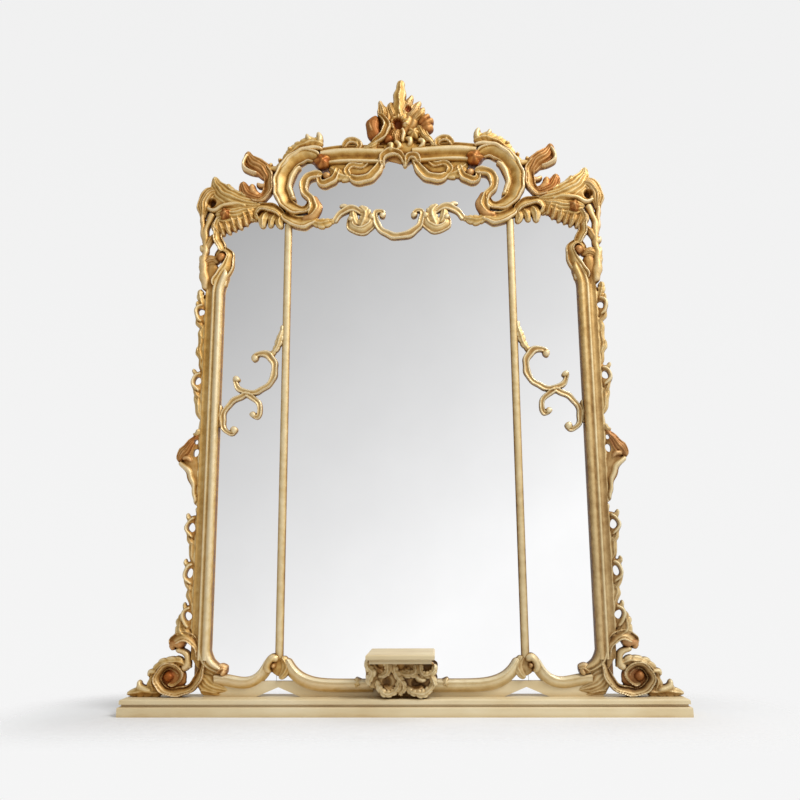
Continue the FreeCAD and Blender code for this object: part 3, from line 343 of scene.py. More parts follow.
SCROLL = both_sides([(-0.50, 0.36, 0.36), (-0.46, 0.66, 0.56), (-0.40, 0.88, 0.78), (-0.33, 0.97, 0.84),
                     (-0.25, 0.92, 0.72), (-0.18, 0.80, 0.54), (-0.10, 0.75, 0.52), (0.0, 0.73, 0.52)])
BAND = np.array([(-0.50, 0.30, 0.30), (-0.47, 0.56, 0.70), (-0.43, 0.68, 0.90), (-0.38, 0.64, 0.60),
                 (-0.33, 0.48, 0.30), (-0.25, 0.48, 0.42), (-0.12, 0.58, 0.55), (0.02, 0.72, 0.65),
                 (0.14, 0.82, 0.70), (0.22, 0.82, 0.50), (0.26, 0.78, 0.35), (0.30, 0.90, 0.60),
                 (0.37, 1.0, 0.95), (0.44, 0.92, 0.85), (0.48, 0.70, 0.50), (0.50, 0.42, 0.30)])
LEAF = both_sides([(-0.50, 0.36, 0.45), (-0.46, 0.60, 0.75), (-0.40, 0.70, 0.80), (-0.28, 0.74, 0.62),
                   (-0.15, 0.80, 0.52), (-0.06, 0.90, 0.62), (0.0, 0.98, 0.80)])
ROLL = both_sides([(-0.50, 0.30, 0.25), (-0.46, 0.58, 0.42), (-0.38, 0.78, 0.58), (-0.25, 0.92, 0.70),
                   (-0.10, 0.99, 0.76), (0.0, 1.0, 0.76)])
FLUTED = both_sides([(-0.50, 0.40, 0.42), (-0.45, 0.66, 0.70), (-0.38, 0.74, 0.78), (-0.31, 0.66, 0.46),
                     (-0.26, 0.72, 0.56), (-0.18, 0.85, 0.78), (-0.10, 0.80, 0.50), (-0.06, 0.86, 0.60),
                     (0.0, 0.97, 0.82)])
MASS = both_sides([(-0.50, 0.40, 0.25), (-0.44, 0.70, 0.38), (-0.25, 0.92, 0.48), (0.0, 1.0, 0.52)])
print(len(SCROLL), "points across a scroll,", len(LEAF), "across a leaf")

# %% [markdown]
# ## One stroke of the carver's tool
# A stroke is a smooth line with a width that swells and tapers and a section that it leaves behind. It
# rounds off at its ends. A leaf gets lobes: its edge draws in at even steps, and a groove runs from each
# notch towards the rib.

# %% A stroke and a knob
LEAST_RISE = 0.45
LEAST_WIDTH = 0.08
END_HEIGHT = 0.6
WHOLE = 4.0


def stroke(section, crossings, widths, rise, lobes=0.0, bole=0.0, dull=0.0):
    """One stroke in squares; widths are shares of a full width of four squares."""
    path, run, way = smooth_line(crossings, 0.25)
    width = WHOLE * np.interp(way / way[-1], np.linspace(0, 1, len(widths)), widths)
    height = rise * (LEAST_RISE + (1 - LEAST_RISE) * width / width.max())
    to_end = np.minimum(way, way[-1] - way)
    rounding = np.sqrt(1 - (1 - np.clip(to_end / (width / 2), 0, 1)) ** 2)
    return {"path": path, "run": run, "way": way, "section": section, "lobes": lobes, "bole": bole,
            "dull": dull, "width": width * np.maximum(rounding, LEAST_WIDTH),
            "height": height * (END_HEIGHT + (1 - END_HEIGHT) * rounding)}


def knob(place, radius, rise, petals=0, bole=0.0, dull=0.0):
    """A ball, or a flower with petals."""
    return {"place": np.array(place), "radius": WHOLE * radius, "height": rise, "petals": petals,
            "bole": bole, "dull": dull}


def eye(place, radius, sunk, bole=0.0):
    """A round hollow, scooped out of what is there."""
    return {"place": np.array(place), "radius": WHOLE * radius, "sunk": sunk, "bole": bole}


def opening(place, radius, tall=1.25):
    """A hole pierced right through."""
    return {"place": np.array(place), "radius": WHOLE * radius, "tall": tall}


KINDS = (SCROLL, BAND, LEAF, ROLL, FLUTED, MASS)
scroll, band, leaf, roll, fluted, mass = (partial(stroke, section) for section in KINDS)
print(len(KINDS), "kinds of stroke, up to", WHOLE * SQUARE, "m wide at a width of one")


# %% [markdown]
# ## Relief from strokes
# Carved wood is one piece: where strokes meet they run into each other with a soft valley. Separate
# swept tubes would only poke through each other. So all strokes of a carving are laid on a fine grid
# of heights, as a sculptor models a relief in clay: at each grid point the highest stroke wins, and
# close heights are blended. A second grid keeps the distance to the nearest edge and gives the outline.

# %% Heights of one stroke or knob
LEAF_NOTCH = 0.2
GROOVE = 0.09
FALL = 0.5


def stroke_heights(item, spots):
    """Distance inside the edge, height and tone of a stroke at the given spots."""
    path, run, way = item["path"], item["run"], item["way"]
    near = ((spots[:, None, :] - path[None]) ** 2).sum(axis=2).argmin(axis=1)
    offset = spots - path[near]
    along = way[near] + (offset * run[near]).sum(axis=1)
    across = run[near, 0] * offset[:, 1] - run[near, 1] * offset[:, 0]
    width = np.interp(along, way, item["width"])
    share = across / width
    edge, groove = 0.5, 0.0
    if item["lobes"]:
        beat = np.abs(np.sin(np.pi * (along - 0.6 * np.abs(across)) / item["lobes"]))
        edge = 0.5 - 0.5 * LEAF_NOTCH * (1 - beat) ** 1.5
        groove = GROOVE * np.exp(-(beat / 0.3) ** 2) * np.clip(np.abs(share) * 2, 0, 1)
    inside = np.minimum((edge - np.abs(share)) * width, np.minimum(along, way[-1] - along) + 0.02)
    bounded = np.clip(share / (2 * edge), -0.5, 0.5)
    height = np.interp(along, way, item["height"]) * (np.interp(bounded, *item["section"].T[:2]) - groove)
    # The groove lowers the tone as well as the height: painted shade in the groove.
    shade = np.interp(bounded, item["section"][:, 0], item["section"][:, 2]) - groove
    return inside, height + FALL * np.minimum(inside, 0), shade


def knob_heights(item, spots):
    """Distance inside the edge, height and tone of a knob at the given spots."""
    offset = spots - item["place"]
    turn = np.arctan2(offset[:, 1], offset[:, 0])
    petal = 0.5 - 0.5 * np.cos(item["petals"] * turn) if item["petals"] else 0.0
    radius = item["radius"] * (1 - 0.09 * petal)
    reach = np.hypot(*offset.T) / radius
    inside = (1 - reach) * radius
    outward = np.clip(reach, 0, 1)
    height = item["height"] * (0.5 + 0.5 * np.sqrt(1 - outward ** 2) - 0.12 * petal * outward)
    # The tone falls towards the knob's foot and between its petals: painted shade.
    return inside, height + FALL * np.minimum(inside, 0), 0.6 - 0.3 * outward ** 3 - 0.12 * petal


# %% Blend, soften and waver
WAVER = 0.15


def blend(first, second, reach):
    """The greater of two values, rounded off where they are close."""
    close = np.maximum(reach - np.abs(first - second), 0) / reach
    return np.maximum(first, second) + close ** 2 * reach / 4


def softened(values, cells):
    """Running mean over a square of cells."""
    for axis in (0, 1):
        padded = np.pad(values, [(cells + 1, cells) if a == axis else (0, 0) for a in (0, 1)], mode="edge")
        total = np.cumsum(padded, axis=axis)
        size, window = values.shape[axis], 2 * cells + 1
        gain = np.take(total, range(window, window + size), axis) - np.take(total, range(size), axis)
        values = gain / window
    return values


def unevenly(spots):
    """A slight waver, as a hand leaves it."""
    x, z = spots.T
    return spots + WAVER * np.column_stack([np.sin(1.3 * z + 0.7 * x), np.sin(1.1 * x - 0.9 * z + 1.0)])


# %% Lay all strokes on one grid
PITCH = 0.2
MARGIN = 1.5
EDGE_BLEND = 0.5
HEIGHT_BLEND = 0.1
SHADE_OF_EYE = 0.4
OUTSIDE = -9.0


def relief_grid(items):
    """Grids of place, edge distance, height, tone and bole for the strokes of one carving."""
    boxes = []
    for item in items:
        if "path" in item:
            around = item["width"].max() / 2 + MARGIN
            boxes.append((item["path"].min(axis=0) - around, item["path"].max(axis=0) + around))
        else:
            around = item["radius"] + MARGIN
            boxes.append((item["place"] - around, item["place"] + around))
    low, high = np.min([box[0] for box in boxes], axis=0), np.max([box[1] for box in boxes], axis=0)
    x, z = np.meshgrid(np.arange(low[0], high[0], PITCH), np.arange(low[1], high[1], PITCH))
    edge, height = np.full(x.shape, OUTSIDE), np.full(x.shape, OUTSIDE)
    tone, bole = np.zeros(x.shape), np.zeros(x.shape)
    for item, (near, far) in zip(items, boxes):
        first, last = ((near - low) / PITCH).astype(int), np.ceil((far - low) / PITCH).astype(int)
        part = np.s_[first[1]:last[1], first[0]:last[0]]
        spots = unevenly(np.column_stack([x[part].ravel(), z[part].ravel()]))
        if "sunk" in item:
            reach = np.hypot(*(spots - item["place"]).T) / item["radius"]
            scoop = np.clip(1 - reach ** 2, 0, 1).reshape(x[part].shape)
            height[part] -= item["sunk"] * scoop
            tone[part] -= SHADE_OF_EYE * scoop
            bole[part] = np.maximum(bole[part], item["bole"] * np.minimum(2 * scoop, 1))
            continue
        if "tall" in item:
            clear = np.hypot(*((spots - item["place"]) / (1, item["tall"])).T) - item["radius"]
            edge[part] = np.minimum(edge[part], clear.reshape(x[part].shape))
            continue
        heights = stroke_heights if "path" in item else knob_heights
        inside, up, shade = (value.reshape(x[part].shape) for value in heights(item, spots))
        higher = up > height[part]
        tone[part] = np.where(higher, shade - item["dull"], tone[part])
        bole[part] = np.where(higher, item["bole"], bole[part])
        edge[part] = blend(edge[part], inside, EDGE_BLEND)
        height[part] = blend(height[part], up, HEIGHT_BLEND)
    return x, z, edge, height, tone, bole


# %% [markdown]
# ## From the grid to a mesh
# Inside the outline the grid's squares become faces. Where the outline crosses a square, the crossing
# on each of its sides is worked out, so the edge is smooth and not stepped. Walls run back from the
# outline to a flat back. The tone is lifted on ridges and lowered in hollows, which a soft copy of the
# heights shows: wear and painted highlight on the high places, dirt and painted shade in the low ones.

# %% Faces inside the outline
def grid_faces(inside, corner, level_cut, upright_cut):
    """Faces of the squares inside the outline, and the edges of the outline itself."""
    count = inside[:-1, :-1].astype(int) + inside[:-1, 1:] + inside[1:, 1:] + inside[1:, :-1]
    rows, ranks = np.nonzero(count == 4)
    faces = np.column_stack([corner[rows, ranks], corner[rows, ranks + 1], corner[rows + 1, ranks + 1],
                             corner[rows + 1, ranks]]).tolist()
    walls = []
    for row, rank in np.argwhere((count > 0) & (count < 4)):
        ring = [(corner[row, rank], 0), (level_cut[row, rank], 1),
                (corner[row, rank + 1], 0), (upright_cut[row, rank + 1], 1),
                (corner[row + 1, rank + 1], 0), (level_cut[row + 1, rank], 1),
                (corner[row + 1, rank], 0), (upright_cut[row, rank], 1)]
        ring = [(int(point), cut) for point, cut in ring if point >= 0]
        faces.append([point for point, _ in ring])
        walls += [(a, b) for (a, cut_a), (b, cut_b) in zip(ring, ring[1:] + ring[:1]) if cut_a and cut_b]
    return faces, walls


# %% Mesh of a relief
RIDGE = 1.6
HOLLOW = 1.0
THINNEST = 0.05
REAR_TONE = 0.2


def relief_mesh(items, back, depth, pale):
    """Points, faces and marks of the carving that the strokes make."""
    x, z, edge, height, tone, bole = relief_grid(items)
    level = np.maximum(height, THINNEST)
    wear_and_shading, dirt_and_shade = level - softened(level, 2), level - softened(level, 6)
    # Ridges get a lighter tone and hollows a darker one: wear and painted highlight, dirt and painted
    # shade.
    tone = tone * 0.75 + 0.16 + RIDGE * wear_and_shading + HOLLOW * dirt_and_shade
    inside = edge > 0
    layers = [x, z, level, tone, bole]
    columns = [[layer[inside] for layer in layers]]
    corner = np.full(x.shape, -1)
    corner[inside] = np.arange(inside.sum())
    total = int(inside.sum())
    crossing = []
    for axis in (1, 0):
        ahead = np.roll(inside, -1, axis)
        cut = inside != ahead
        cut[(slice(None), -1) if axis else -1] = False
        share = (edge / (edge - np.roll(edge, -1, axis) + 1e-12))[cut]
        beyond = [np.roll(layer, -1, axis) for layer in layers]
        columns.append([near[cut] * (1 - share) + far[cut] * share for near, far in zip(layers, beyond)])
        index = np.full(x.shape, -1)
        index[cut] = np.arange(total, total + cut.sum())
        total += int(cut.sum())
        crossing.append(index)
    x, z, level, tone, bole = (np.concatenate(parts) for parts in zip(*columns))
    faces, walls = grid_faces(inside, corner, *crossing)
    front = np.column_stack([x * SQUARE, back - depth * level, PLINTH_TOP + z * SQUARE])
    rear = front.copy()
    rear[:, 1] = back
    rear_faces = [[point + total for point in face[::-1]] for face in faces]
    faces += rear_faces + [[b, a, a + total, b + total] for a, b in walls]
    marks = {"tone": np.concatenate([tone, np.full(total, REAR_TONE)]), "pale": np.full(2 * total, pale),
             "bole": np.concatenate([bole, np.zeros(total)])}
    return np.concatenate([front, rear]), faces, marks


# %% [markdown]
# ## Mouldings
# Stiles, dividers, swags and the frieze are planed lengths with one section, so they stay sharp from
# end to end. For these a section is swept along the line, ring by ring.

# %% Sections of the mouldings
STILE = np.array([(-0.5, 0, 0.05, 0), (-0.51, 0.42, 0.4, 0), (-0.47, 0.5, 0.6, 0), (-0.42, 0.46, 0.6, 0),
                  (-0.33, 0.4, 0.6, 0), (-0.22, 0.44, 0.66, 0), (-0.15, 0.54, 0.7, 0.055),
                  (-0.13, 0.64, 0.66, 0.165), (-0.1, 0.75, 0.85, 0.33), (-0.05, 0.8, 0.98, 0.385),
                  (0, 0.78, 0.92, 0.385), (0.04, 0.72, 0.75, 0.275), (0.06, 0.7, 0.62, 0.165),
                  (0.09, 0.7, 0.62, 0.165), (0.11, 0.75, 0.8, 0.275), (0.16, 0.87, 0.92, 0.385),
                  (0.24, 0.97, 1, 0.4125), (0.32, 1, 1, 0.4125), (0.4, 0.95, 0.96, 0.385),
                  (0.46, 0.82, 0.8, 0.275), (0.495, 0.6, 0.5, 0.11), (0.5, 0.3, 0.25, 0),
                  (0.5, 0.12, 0.1, 0)])
# The right stile's inner bead is darker: partly uneven gilding, partly painted shade on its left-facing
# side.
SHADED_RIGHT_STILE = STILE.copy()
STILE_SHADE_TONE, STILE_SHADE_CREAM = 0.68, 0.3
SHADED_RIGHT_STILE[STILE[:, 0] > 0.1, 2:] *= (STILE_SHADE_TONE, STILE_SHADE_CREAM)
# The swag's upper bead is light and cream, its lower cove dark: cream paint, with painted highlight above
# and painted shade below.
SWAG = np.array([(-0.5, 0, 0.06, 0), (-0.52, 0.4, 0.72, 0.3), (-0.48, 0.72, 1.08, 0.6),
                 (-0.42, 0.92, 1.2, 0.8), (-0.34, 1, 1.2, 0.8), (-0.26, 0.96, 1.152, 0.6),
                 (-0.2, 0.88, 1.032, 0.3), (-0.1, 0.86, 1.056, 0.2), (0.02, 0.83, 1.056, 0.1),
                 (0.14, 0.75, 0.96, 0), (0.26, 0.61, 0.84, 0), (0.36, 0.47, 0.744, 0.1),
                 (0.44, 0.38, 0.84, 0.4), (0.5, 0.32, 1.02, 0.7), (0.5, 0, 0.06, 0)])
BEAD = np.array([(-0.50, 0.0, 0.02, 0), (-0.50, 0.30, 0.12, 0.2), (-0.47, 0.52, 0.35, 0.4),
                 (-0.38, 0.74, 0.62, 0.5), (-0.26, 0.90, 0.78, 0.5), (-0.12, 0.98, 0.88, 0.5),
                 (0.0, 1.0, 0.9, 0.5), (0.12, 0.98, 0.88, 0.5), (0.26, 0.90, 0.78, 0.5),
                 (0.38, 0.74, 0.62, 0.5), (0.47, 0.52, 0.35, 0.4), (0.50, 0.30, 0.12, 0.2),
                 (0.50, 0.0, 0.02, 0)])
FRIEZE = np.array([(-0.50, 0.0, 0.02, 0), (-0.51, 0.45, 0.5, 0), (-0.46, 0.58, 0.8, 0.1),
                   (-0.40, 0.5, 0.32, 0), (-0.34, 0.55, 0.4, 0), (-0.26, 0.78, 0.75, 0.1),
                   (-0.17, 0.9, 0.98, 0.2), (-0.08, 0.86, 0.8, 0.1), (0.0, 0.7, 0.5, 0),
                   (0.08, 0.56, 0.32, 0), (0.16, 0.5, 0.4, 0), (0.24, 0.58, 0.5, 0),
                   (0.30, 0.76, 0.85, 0.1), (0.37, 0.8, 0.98, 0.2), (0.43, 0.66, 0.6, 0),
                   (0.47, 0.4, 0.15, 0), (0.5, 0.2, 0.05, 0), (0.5, 0.0, 0.02, 0)])
print(len(STILE), "points across a stile,", len(SWAG), "across a swag")


# %% Sweep a moulding
BACK_TONE = 0.3
HAIR = 0.00005


def moulding(section, crossings, widths, rise, back=None, depth=None, rounded=(), bole=0.0):
    """A swept length: its points, its faces and the marks for its finish."""
    back = BOARD_FACE if back is None else back
    depth = DEEP if depth is None else depth
    path, run, way = smooth_line(crossings, 0.3)
    width = WHOLE * np.interp(way / way[-1], np.linspace(0, 1, len(widths)), widths)
    to_end = np.minimum(way if 0 in rounded else way + width,
                        way[-1] - way + (0 if 1 in rounded else width))
    rounding = np.sqrt(1 - (1 - np.clip(to_end / (width / 2), 0, 1)) ** 2)
    width = width * np.maximum(rounding, LEAST_WIDTH)
    height = depth * rise * (0.5 + 0.5 * rounding)
    across, up, tone, pale = section.T
    tone = np.maximum(tone, BACK_TONE)
    reach = width[:, None] * across
    rings = np.empty((len(way), len(section), 3))
    rings[..., 0] = (path[:, :1] - run[:, 1:] * reach) * SQUARE
    rings[..., 1] = back - HAIR / 2 - height[:, None] * up
    rings[..., 2] = PLINTH_TOP + (path[:, 1:] + run[:, :1] * reach) * SQUARE
    count = rings.shape[0] * rings.shape[1]
    marks = {"tone": np.tile(tone, len(way)), "pale": np.tile(pale, len(way)), "bole": np.full(count, bole)}
    return rings.reshape(-1, 3), ring_faces(len(way), len(section)), marks


# %% Join rings with faces
def ring_faces(rows, count):
    """Quads between neighbouring rings of equal count, with a cap on the first and the last."""
    start = (np.arange(rows - 1) * count)[:, None]
    here = np.arange(count)[None, :]
    after = (here + 1) % count
    quads = np.stack([start + here, start + after, start + count + after, start + count + here], axis=-1)
    last = (rows - 1) * count
    return quads.reshape(-1, 4).tolist() + [list(range(count))[::-1], list(range(last, last + count))]


# %% [markdown]
# ## Pieces of the frame
# Relief and mouldings of one carving become one mesh, which rides on the frame and takes the place of
# the plain blank. The right side is drawn; the left is its mirror image with the faces turned round.
# Low down, and more so on the right, the gilding is painted over in cream. Neighbours overlap, and
# two faces in one plane render black, so each back lies a hair in front of the last one.

# %% Cream paint by place
def fading(points, most, head, reach):
    """A share that starts at the head and grows downwards over the reach."""
    return most * np.clip((head - points[:, 2]) / reach, 0, 1)


def cream_share(points):
    """How much cream paint shows at a place: most low down on the right."""
    right_share = fading(points, most=0.75, head=1.6, reach=1.2)
    left_share = fading(points, most=0.12, head=0.95, reach=0.6)
    return np.where(points[:, 0] > 0, right_share, left_share)


# %% Join relief and swept lengths
def carved(items, lengths, back=None, depth=None, pale=0.0):
    """The relief of some strokes and the swept lengths beside it, as one set of points, faces and marks."""
    parts = list(lengths)
    if items:
        back = BOARD_FACE if back is None else back
        parts.append(relief_mesh(items, back, DEEP if depth is None else depth, pale))
    points, faces, marks, start = [], [], {"tone": [], "pale": [], "bole": []}, 0
    for spots, quads, values in parts:
        points.append(spots)
        faces += [[corner + start for corner in quad] for quad in quads]
        start += len(spots)
        for label, value in values.items():
            marks[label].append(value)
    return np.concatenate(points), faces, {label: np.concatenate(value) for label, value in marks.items()}


# %% Lay a carving over its blank
CLAY_CLEARS, CREAM_DULLS, MOST_CREAM = 0.85, 0.28, 0.92
SHARP = math.radians(50)
laid = []


def lay_mesh(node, points, faces, marks, mirrored=False, slot="gilt_wood"):
    """A carving, or its mirror image, that stands for the node."""
    points = points.copy()
    points[points[:, 1] > BOARD_FACE - HAIR, 1] -= HAIR * len(laid)
    laid.append(node)
    if mirrored:
        points = points * (-1, 1, 1)
        faces = [quad[::-1] for quad in faces]
    share = cream_share(points)
    cream = np.maximum(marks["pale"], share * (0.35 + marks["tone"]))
    cream = cream * (1 - CLAY_CLEARS * np.clip(marks["bole"], 0, 1))
    marks = {**marks, "pale": np.clip(cream, 0, MOST_CREAM), "tone": marks["tone"] - CREAM_DULLS * share}
    mesh = bpy.data.meshes.new("carved_" + node)
    mesh.from_pydata(points.tolist(), [], faces)
    for label, value in marks.items():
        mesh.attributes.new(label, "FLOAT", "POINT").data.foreach_set("value", value.astype(np.float32))
    mesh.polygons.foreach_set("use_smooth", [True] * len(mesh.polygons))
    mesh.set_sharp_from_angle(angle=SHARP)
    mesh.materials.append(gilding)
    piece = bpy.data.objects.new("carved_" + node, mesh)
    bpy.context.scene.collection.objects.link(piece)
    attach(piece, "frame")
    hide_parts(node)
    return piece


# %% Single carvings and pairs
def lay_carving(node, items=(), lengths=(), **place):
    """One carving that has no mirror image."""
    piece = lay_mesh(node, *carved(items, lengths, **place))
    print(node, len(items) + len(lengths), "strokes,", len(piece.data.polygons), "faces")


def lay_pair(label, items=(), lengths=(), right_lengths=None, slot="gilt_wood", **place):
    """A carving on the right and its mirror image on the left; a swept length may differ on the right."""
    shape = carved(items, lengths, **place)
    right_shape = carved(items, right_lengths, **place) if right_lengths else shape
    lay_mesh("right_" + label, *right_shape, slot=slot)
    piece = lay_mesh("left_" + label, *shape, mirrored=True, slot=slot)
    print(label, len(items) + len(lengths), "strokes,", len(piece.data.polygons), "faces a side")


# %% [markdown]
# ## Stiles and dividers
# A stile is a straight moulding: a brown-gold cove outside, then two cream-yellow beads with a fine
# groove between them. On the right stile the inner bead is darker brown gold: partly uneven gilding,
# partly painted shade on its left-facing side, as if the light came from the right. A divider is a
# half-round bead that hides the joint of two plates. Both are swept along a straight line, as long as
# their solids.

# %% Sweep the stiles and the dividers
def squares_of(node):
    """A node's box in squares: left, foot, right, head; and its depth in metres."""
    low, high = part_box(node)
    foot, head = low.z - PLINTH_TOP, high.z - PLINTH_TOP
    return low.x / SQUARE, foot / SQUARE, high.x / SQUARE, head / SQUARE, BOARD_FACE - low.y


def stile_lengths(crossings, widths, rise, rounded=()):
    """A length with the left stile's section, and the same with the right one's."""
    return [moulding(section, crossings, widths, rise, rounded=rounded) for section in (STILE, SHADED_RIGHT_STILE)]


left, foot, right, head, deep = squares_of("right_stile")
middle = (left + right) / 2
stiles = stile_lengths([(middle, foot), (middle, head)], [(right - left) / WHOLE] * 2, deep / DEEP)
lay_pair("stile", lengths=stiles[:1], right_lengths=stiles[1:])
left, foot, right, head, deep = squares_of("right_divider")
divider_x = (left + right) / 2
divider = moulding(BEAD, [(divider_x, foot), (divider_x, head)], [(right - left) / WHOLE] * 2,
                   (deep - BOARD_FACE + GLASS_FACE) / DEEP, back=GLASS_FACE)
lay_pair("divider", lengths=[divider], slot="cream_wood")

# %% [markdown]
# ## The foot of the frame
# Smooth swags run along the bottom of the glass, cream above and gold below. They meet under each
# divider in a small leaf, and outside the stiles stands a scrolled foot with a ball in its eye.

# %% Swags and divider feet
lay_pair("divider_foot", [
    mass([(35.0, 10.6), (35.0, 8.0), (35.2, 5.6)], [0.8, 1.3, 0.9], 0.45),
    roll([(37.0, 6.4), (37.8, 8.4), (36.6, 10.4), (34.8, 9.6)], [0.5, 0.66, 0.62, 0.4], 0.74),
    leaf([(34.0, 10.8), (32.6, 9.2), (32.8, 7.0), (34.6, 5.0)], [0.4, 0.66, 0.7, 0.4], 0.66),
    knob((36.0, 8.6), 0.2, 0.7, bole=0.7),
], back=GLASS_FACE)
swag_run = moulding(SWAG, [(53.0, 4.5), (49.6, 4.2), (46.2, 3.6), (42.8, 3.8), (40.0, 5.4), (38.2, 7.8),
                           (37.1, 10.2)], [0.8, 0.85, 0.85, 0.82, 0.8, 0.78, 0.7], 0.7, rounded=(1,))
corners = stile_lengths([(50.4, 6.6), (53.2, 7.4), (55.8, 9.2), (57.2, 12.0)], [0.6, 0.95, 1.25, 1.37],
                        0.85, (0,))
lay_pair("outer_swag", [
    leaf([(49.4, 7.2), (51.0, 7.6), (52.8, 6.4)], [0.4, 0.7, 0.5], 0.92, bole=0.5),
    knob((50.4, 6.7), 0.24, 0.88, bole=0.5, dull=0.1),
    fluted([(57.6, 6.4), (54.8, 3.8), (51.8, 2.2), (48.6, 1.6)], [1.4, 1.5, 1.1, 0.5], 0.55),
    leaf([(57.0, 1.6), (54.4, 1.4), (51.8, 1.0)], [0.7, 0.66, 0.4], 0.5),
], [corners[0], swag_run], [corners[1], swag_run])
lay_pair("inner_swag", [knob((12.4, 3.7), 0.34, 0.75, petals=5)], [
    moulding(SWAG, [(33.1, 10.2), (31.8, 7.9), (29.4, 5.4), (25.8, 3.7), (21.0, 3.0), (15.0, 2.9),
                    (8.0, 2.9)], [0.7, 0.78, 0.84, 0.85, 0.85, 0.85, 0.85], 0.7, back=GLASS_FACE,
             rounded=(0,)),
], back=GLASS_FACE)

# %% Scrolled feet
lay_pair("foot_volute", [
    mass([(61.2, 4.0), (64.8, 4.8), (68.2, 4.4)], [1.2, 1.9, 1.3], 0.5, bole=0.85, dull=-0.1),
    band([(66.2, 4.2), (64.4, 3.6), (62.9, 5.2), (63.4, 7.4), (65.8, 8.4), (68.2, 7.2), (69.1, 4.6),
          (67.6, 2.3), (64.2, 1.4), (60.6, 2.0), (58.0, 4.4), (56.8, 7.4), (56.6, 10.6)],
         [0.34, 0.4, 0.46, 0.52, 0.58, 0.62, 0.66, 0.66, 0.66, 0.66, 0.62, 0.55, 0.5], 0.84, bole=0.2),
    knob((65.9, 5.5), 0.34, 0.8, bole=1.0, dull=0.2),
    leaf([(60.0, 7.8), (63.6, 9.6), (67.4, 9.2), (70.0, 7.4), (71.6, 5.2)], [0.45, 0.66, 0.75, 0.66, 0.34],
         0.7, lobes=2.2),
    roll([(69.0, 6.4), (70.6, 6.8), (71.8, 6.4), (72.0, 5.4)], [0.4, 0.42, 0.36, 0.26], 0.6),
    leaf([(69.0, 6.4), (70.8, 4.4), (70.4, 1.6)], [0.6, 0.75, 0.7], 0.55, lobes=2.0),
    leaf([(67.6, 1.4), (71.6, 1.3), (75.2, 1.3), (78.1, 0.6)], [0.7, 0.9, 0.9, 0.3], 0.55, lobes=2.4),
    roll([(70.8, 1.8), (73.0, 2.0), (74.4, 3.0), (74.8, 4.5)], [0.55, 0.6, 0.5, 0.3], 0.64),
])

# %% [markdown]
# ## Pierced borders
# Outside each stile climbs a slender border with small openings. A boolean could pierce it, but the
# relief grid can do it at once: an opening simply lowers the edge distance, and the outline goes round
# it. A crescent bows round each opening, with a spur above it, and leaves link one to the next, so the
# border has one wavy edge.

# %% An opening of the border
def border_opening(height):
    """The crescent round an opening, with its spur and the leaf below it."""
    return [
        mass([(60.3, height + 3.4), (61.5, height + 1.7), (61.9, height), (61.5, height - 1.8),
              (60.4, height - 3.6)], [0.3, 0.66, 0.8, 0.7, 0.34], 0.5, bole=0.3),
        roll([(60.6, height + 2.7), (62.2, height + 1.6), (62.8, height), (62.1, height - 1.8),
              (60.8, height - 3.0)], [0.22, 0.3, 0.34, 0.3, 0.22], 0.72),
        leaf([(61.6, height + 1.9), (62.6, height + 2.8), (62.7, height + 4.1)], [0.36, 0.34, 0.18], 0.6),
        leaf([(62.4, height - 1.2), (61.9, height - 3.4), (60.4, height - 5.2)], [0.3, 0.5, 0.34], 0.58,
             bole=0.2),
    ]


def border_links(heights):
    """Leaves that link the openings, each bowing out half way."""
    return [leaf([(60.2, low + 2.8), (61.1, (low + high) / 2 + 1.0), (60.3, high - 3.4)],
                 [0.36, 0.55, 0.36], 0.5, bole=0.15)
            for low, high in zip(heights, heights[1:])]


# %% The lower border
upright = [0.32] * 3
lower = [
    band([(64.6, 13.2), (65.4, 14.8), (63.2, 16.4), (60.2, 15.9), (57.9, 13.4), (57.2, 10.0)],
         [0.45, 0.7, 0.8, 0.76, 0.66, 0.5], 0.8, bole=0.25),
    roll([(61.4, 14.6), (63.6, 14.6), (65.4, 13.9), (64.6, 12.7)], [0.5, 0.8, 0.72, 0.42], 0.7, bole=0.85),
    roll([(64.4, 12.8), (62.4, 12.4), (60.9, 10.6), (61.0, 8.6), (62.4, 7.2)], [0.5, 0.5, 0.5, 0.5, 0.5],
         0.6, bole=0.2),
    roll([(59.9, 14.0), (60.0, 30.0), (59.9, 53.4)], upright, 0.4),
    leaf([(60.4, 16.0), (62.8, 17.2), (63.6, 19.8), (62.8, 23.0)], [0.7, 0.9, 0.75, 0.4], 0.62, lobes=2.2),
]
low_heights = (22.0, 34.2, 47.4)
lower += border_links(low_heights)
for height in low_heights:
    lower += border_opening(height)
lower += [opening((61.3, height), 0.25) for height in low_heights]
lay_pair("lower_border", lower)

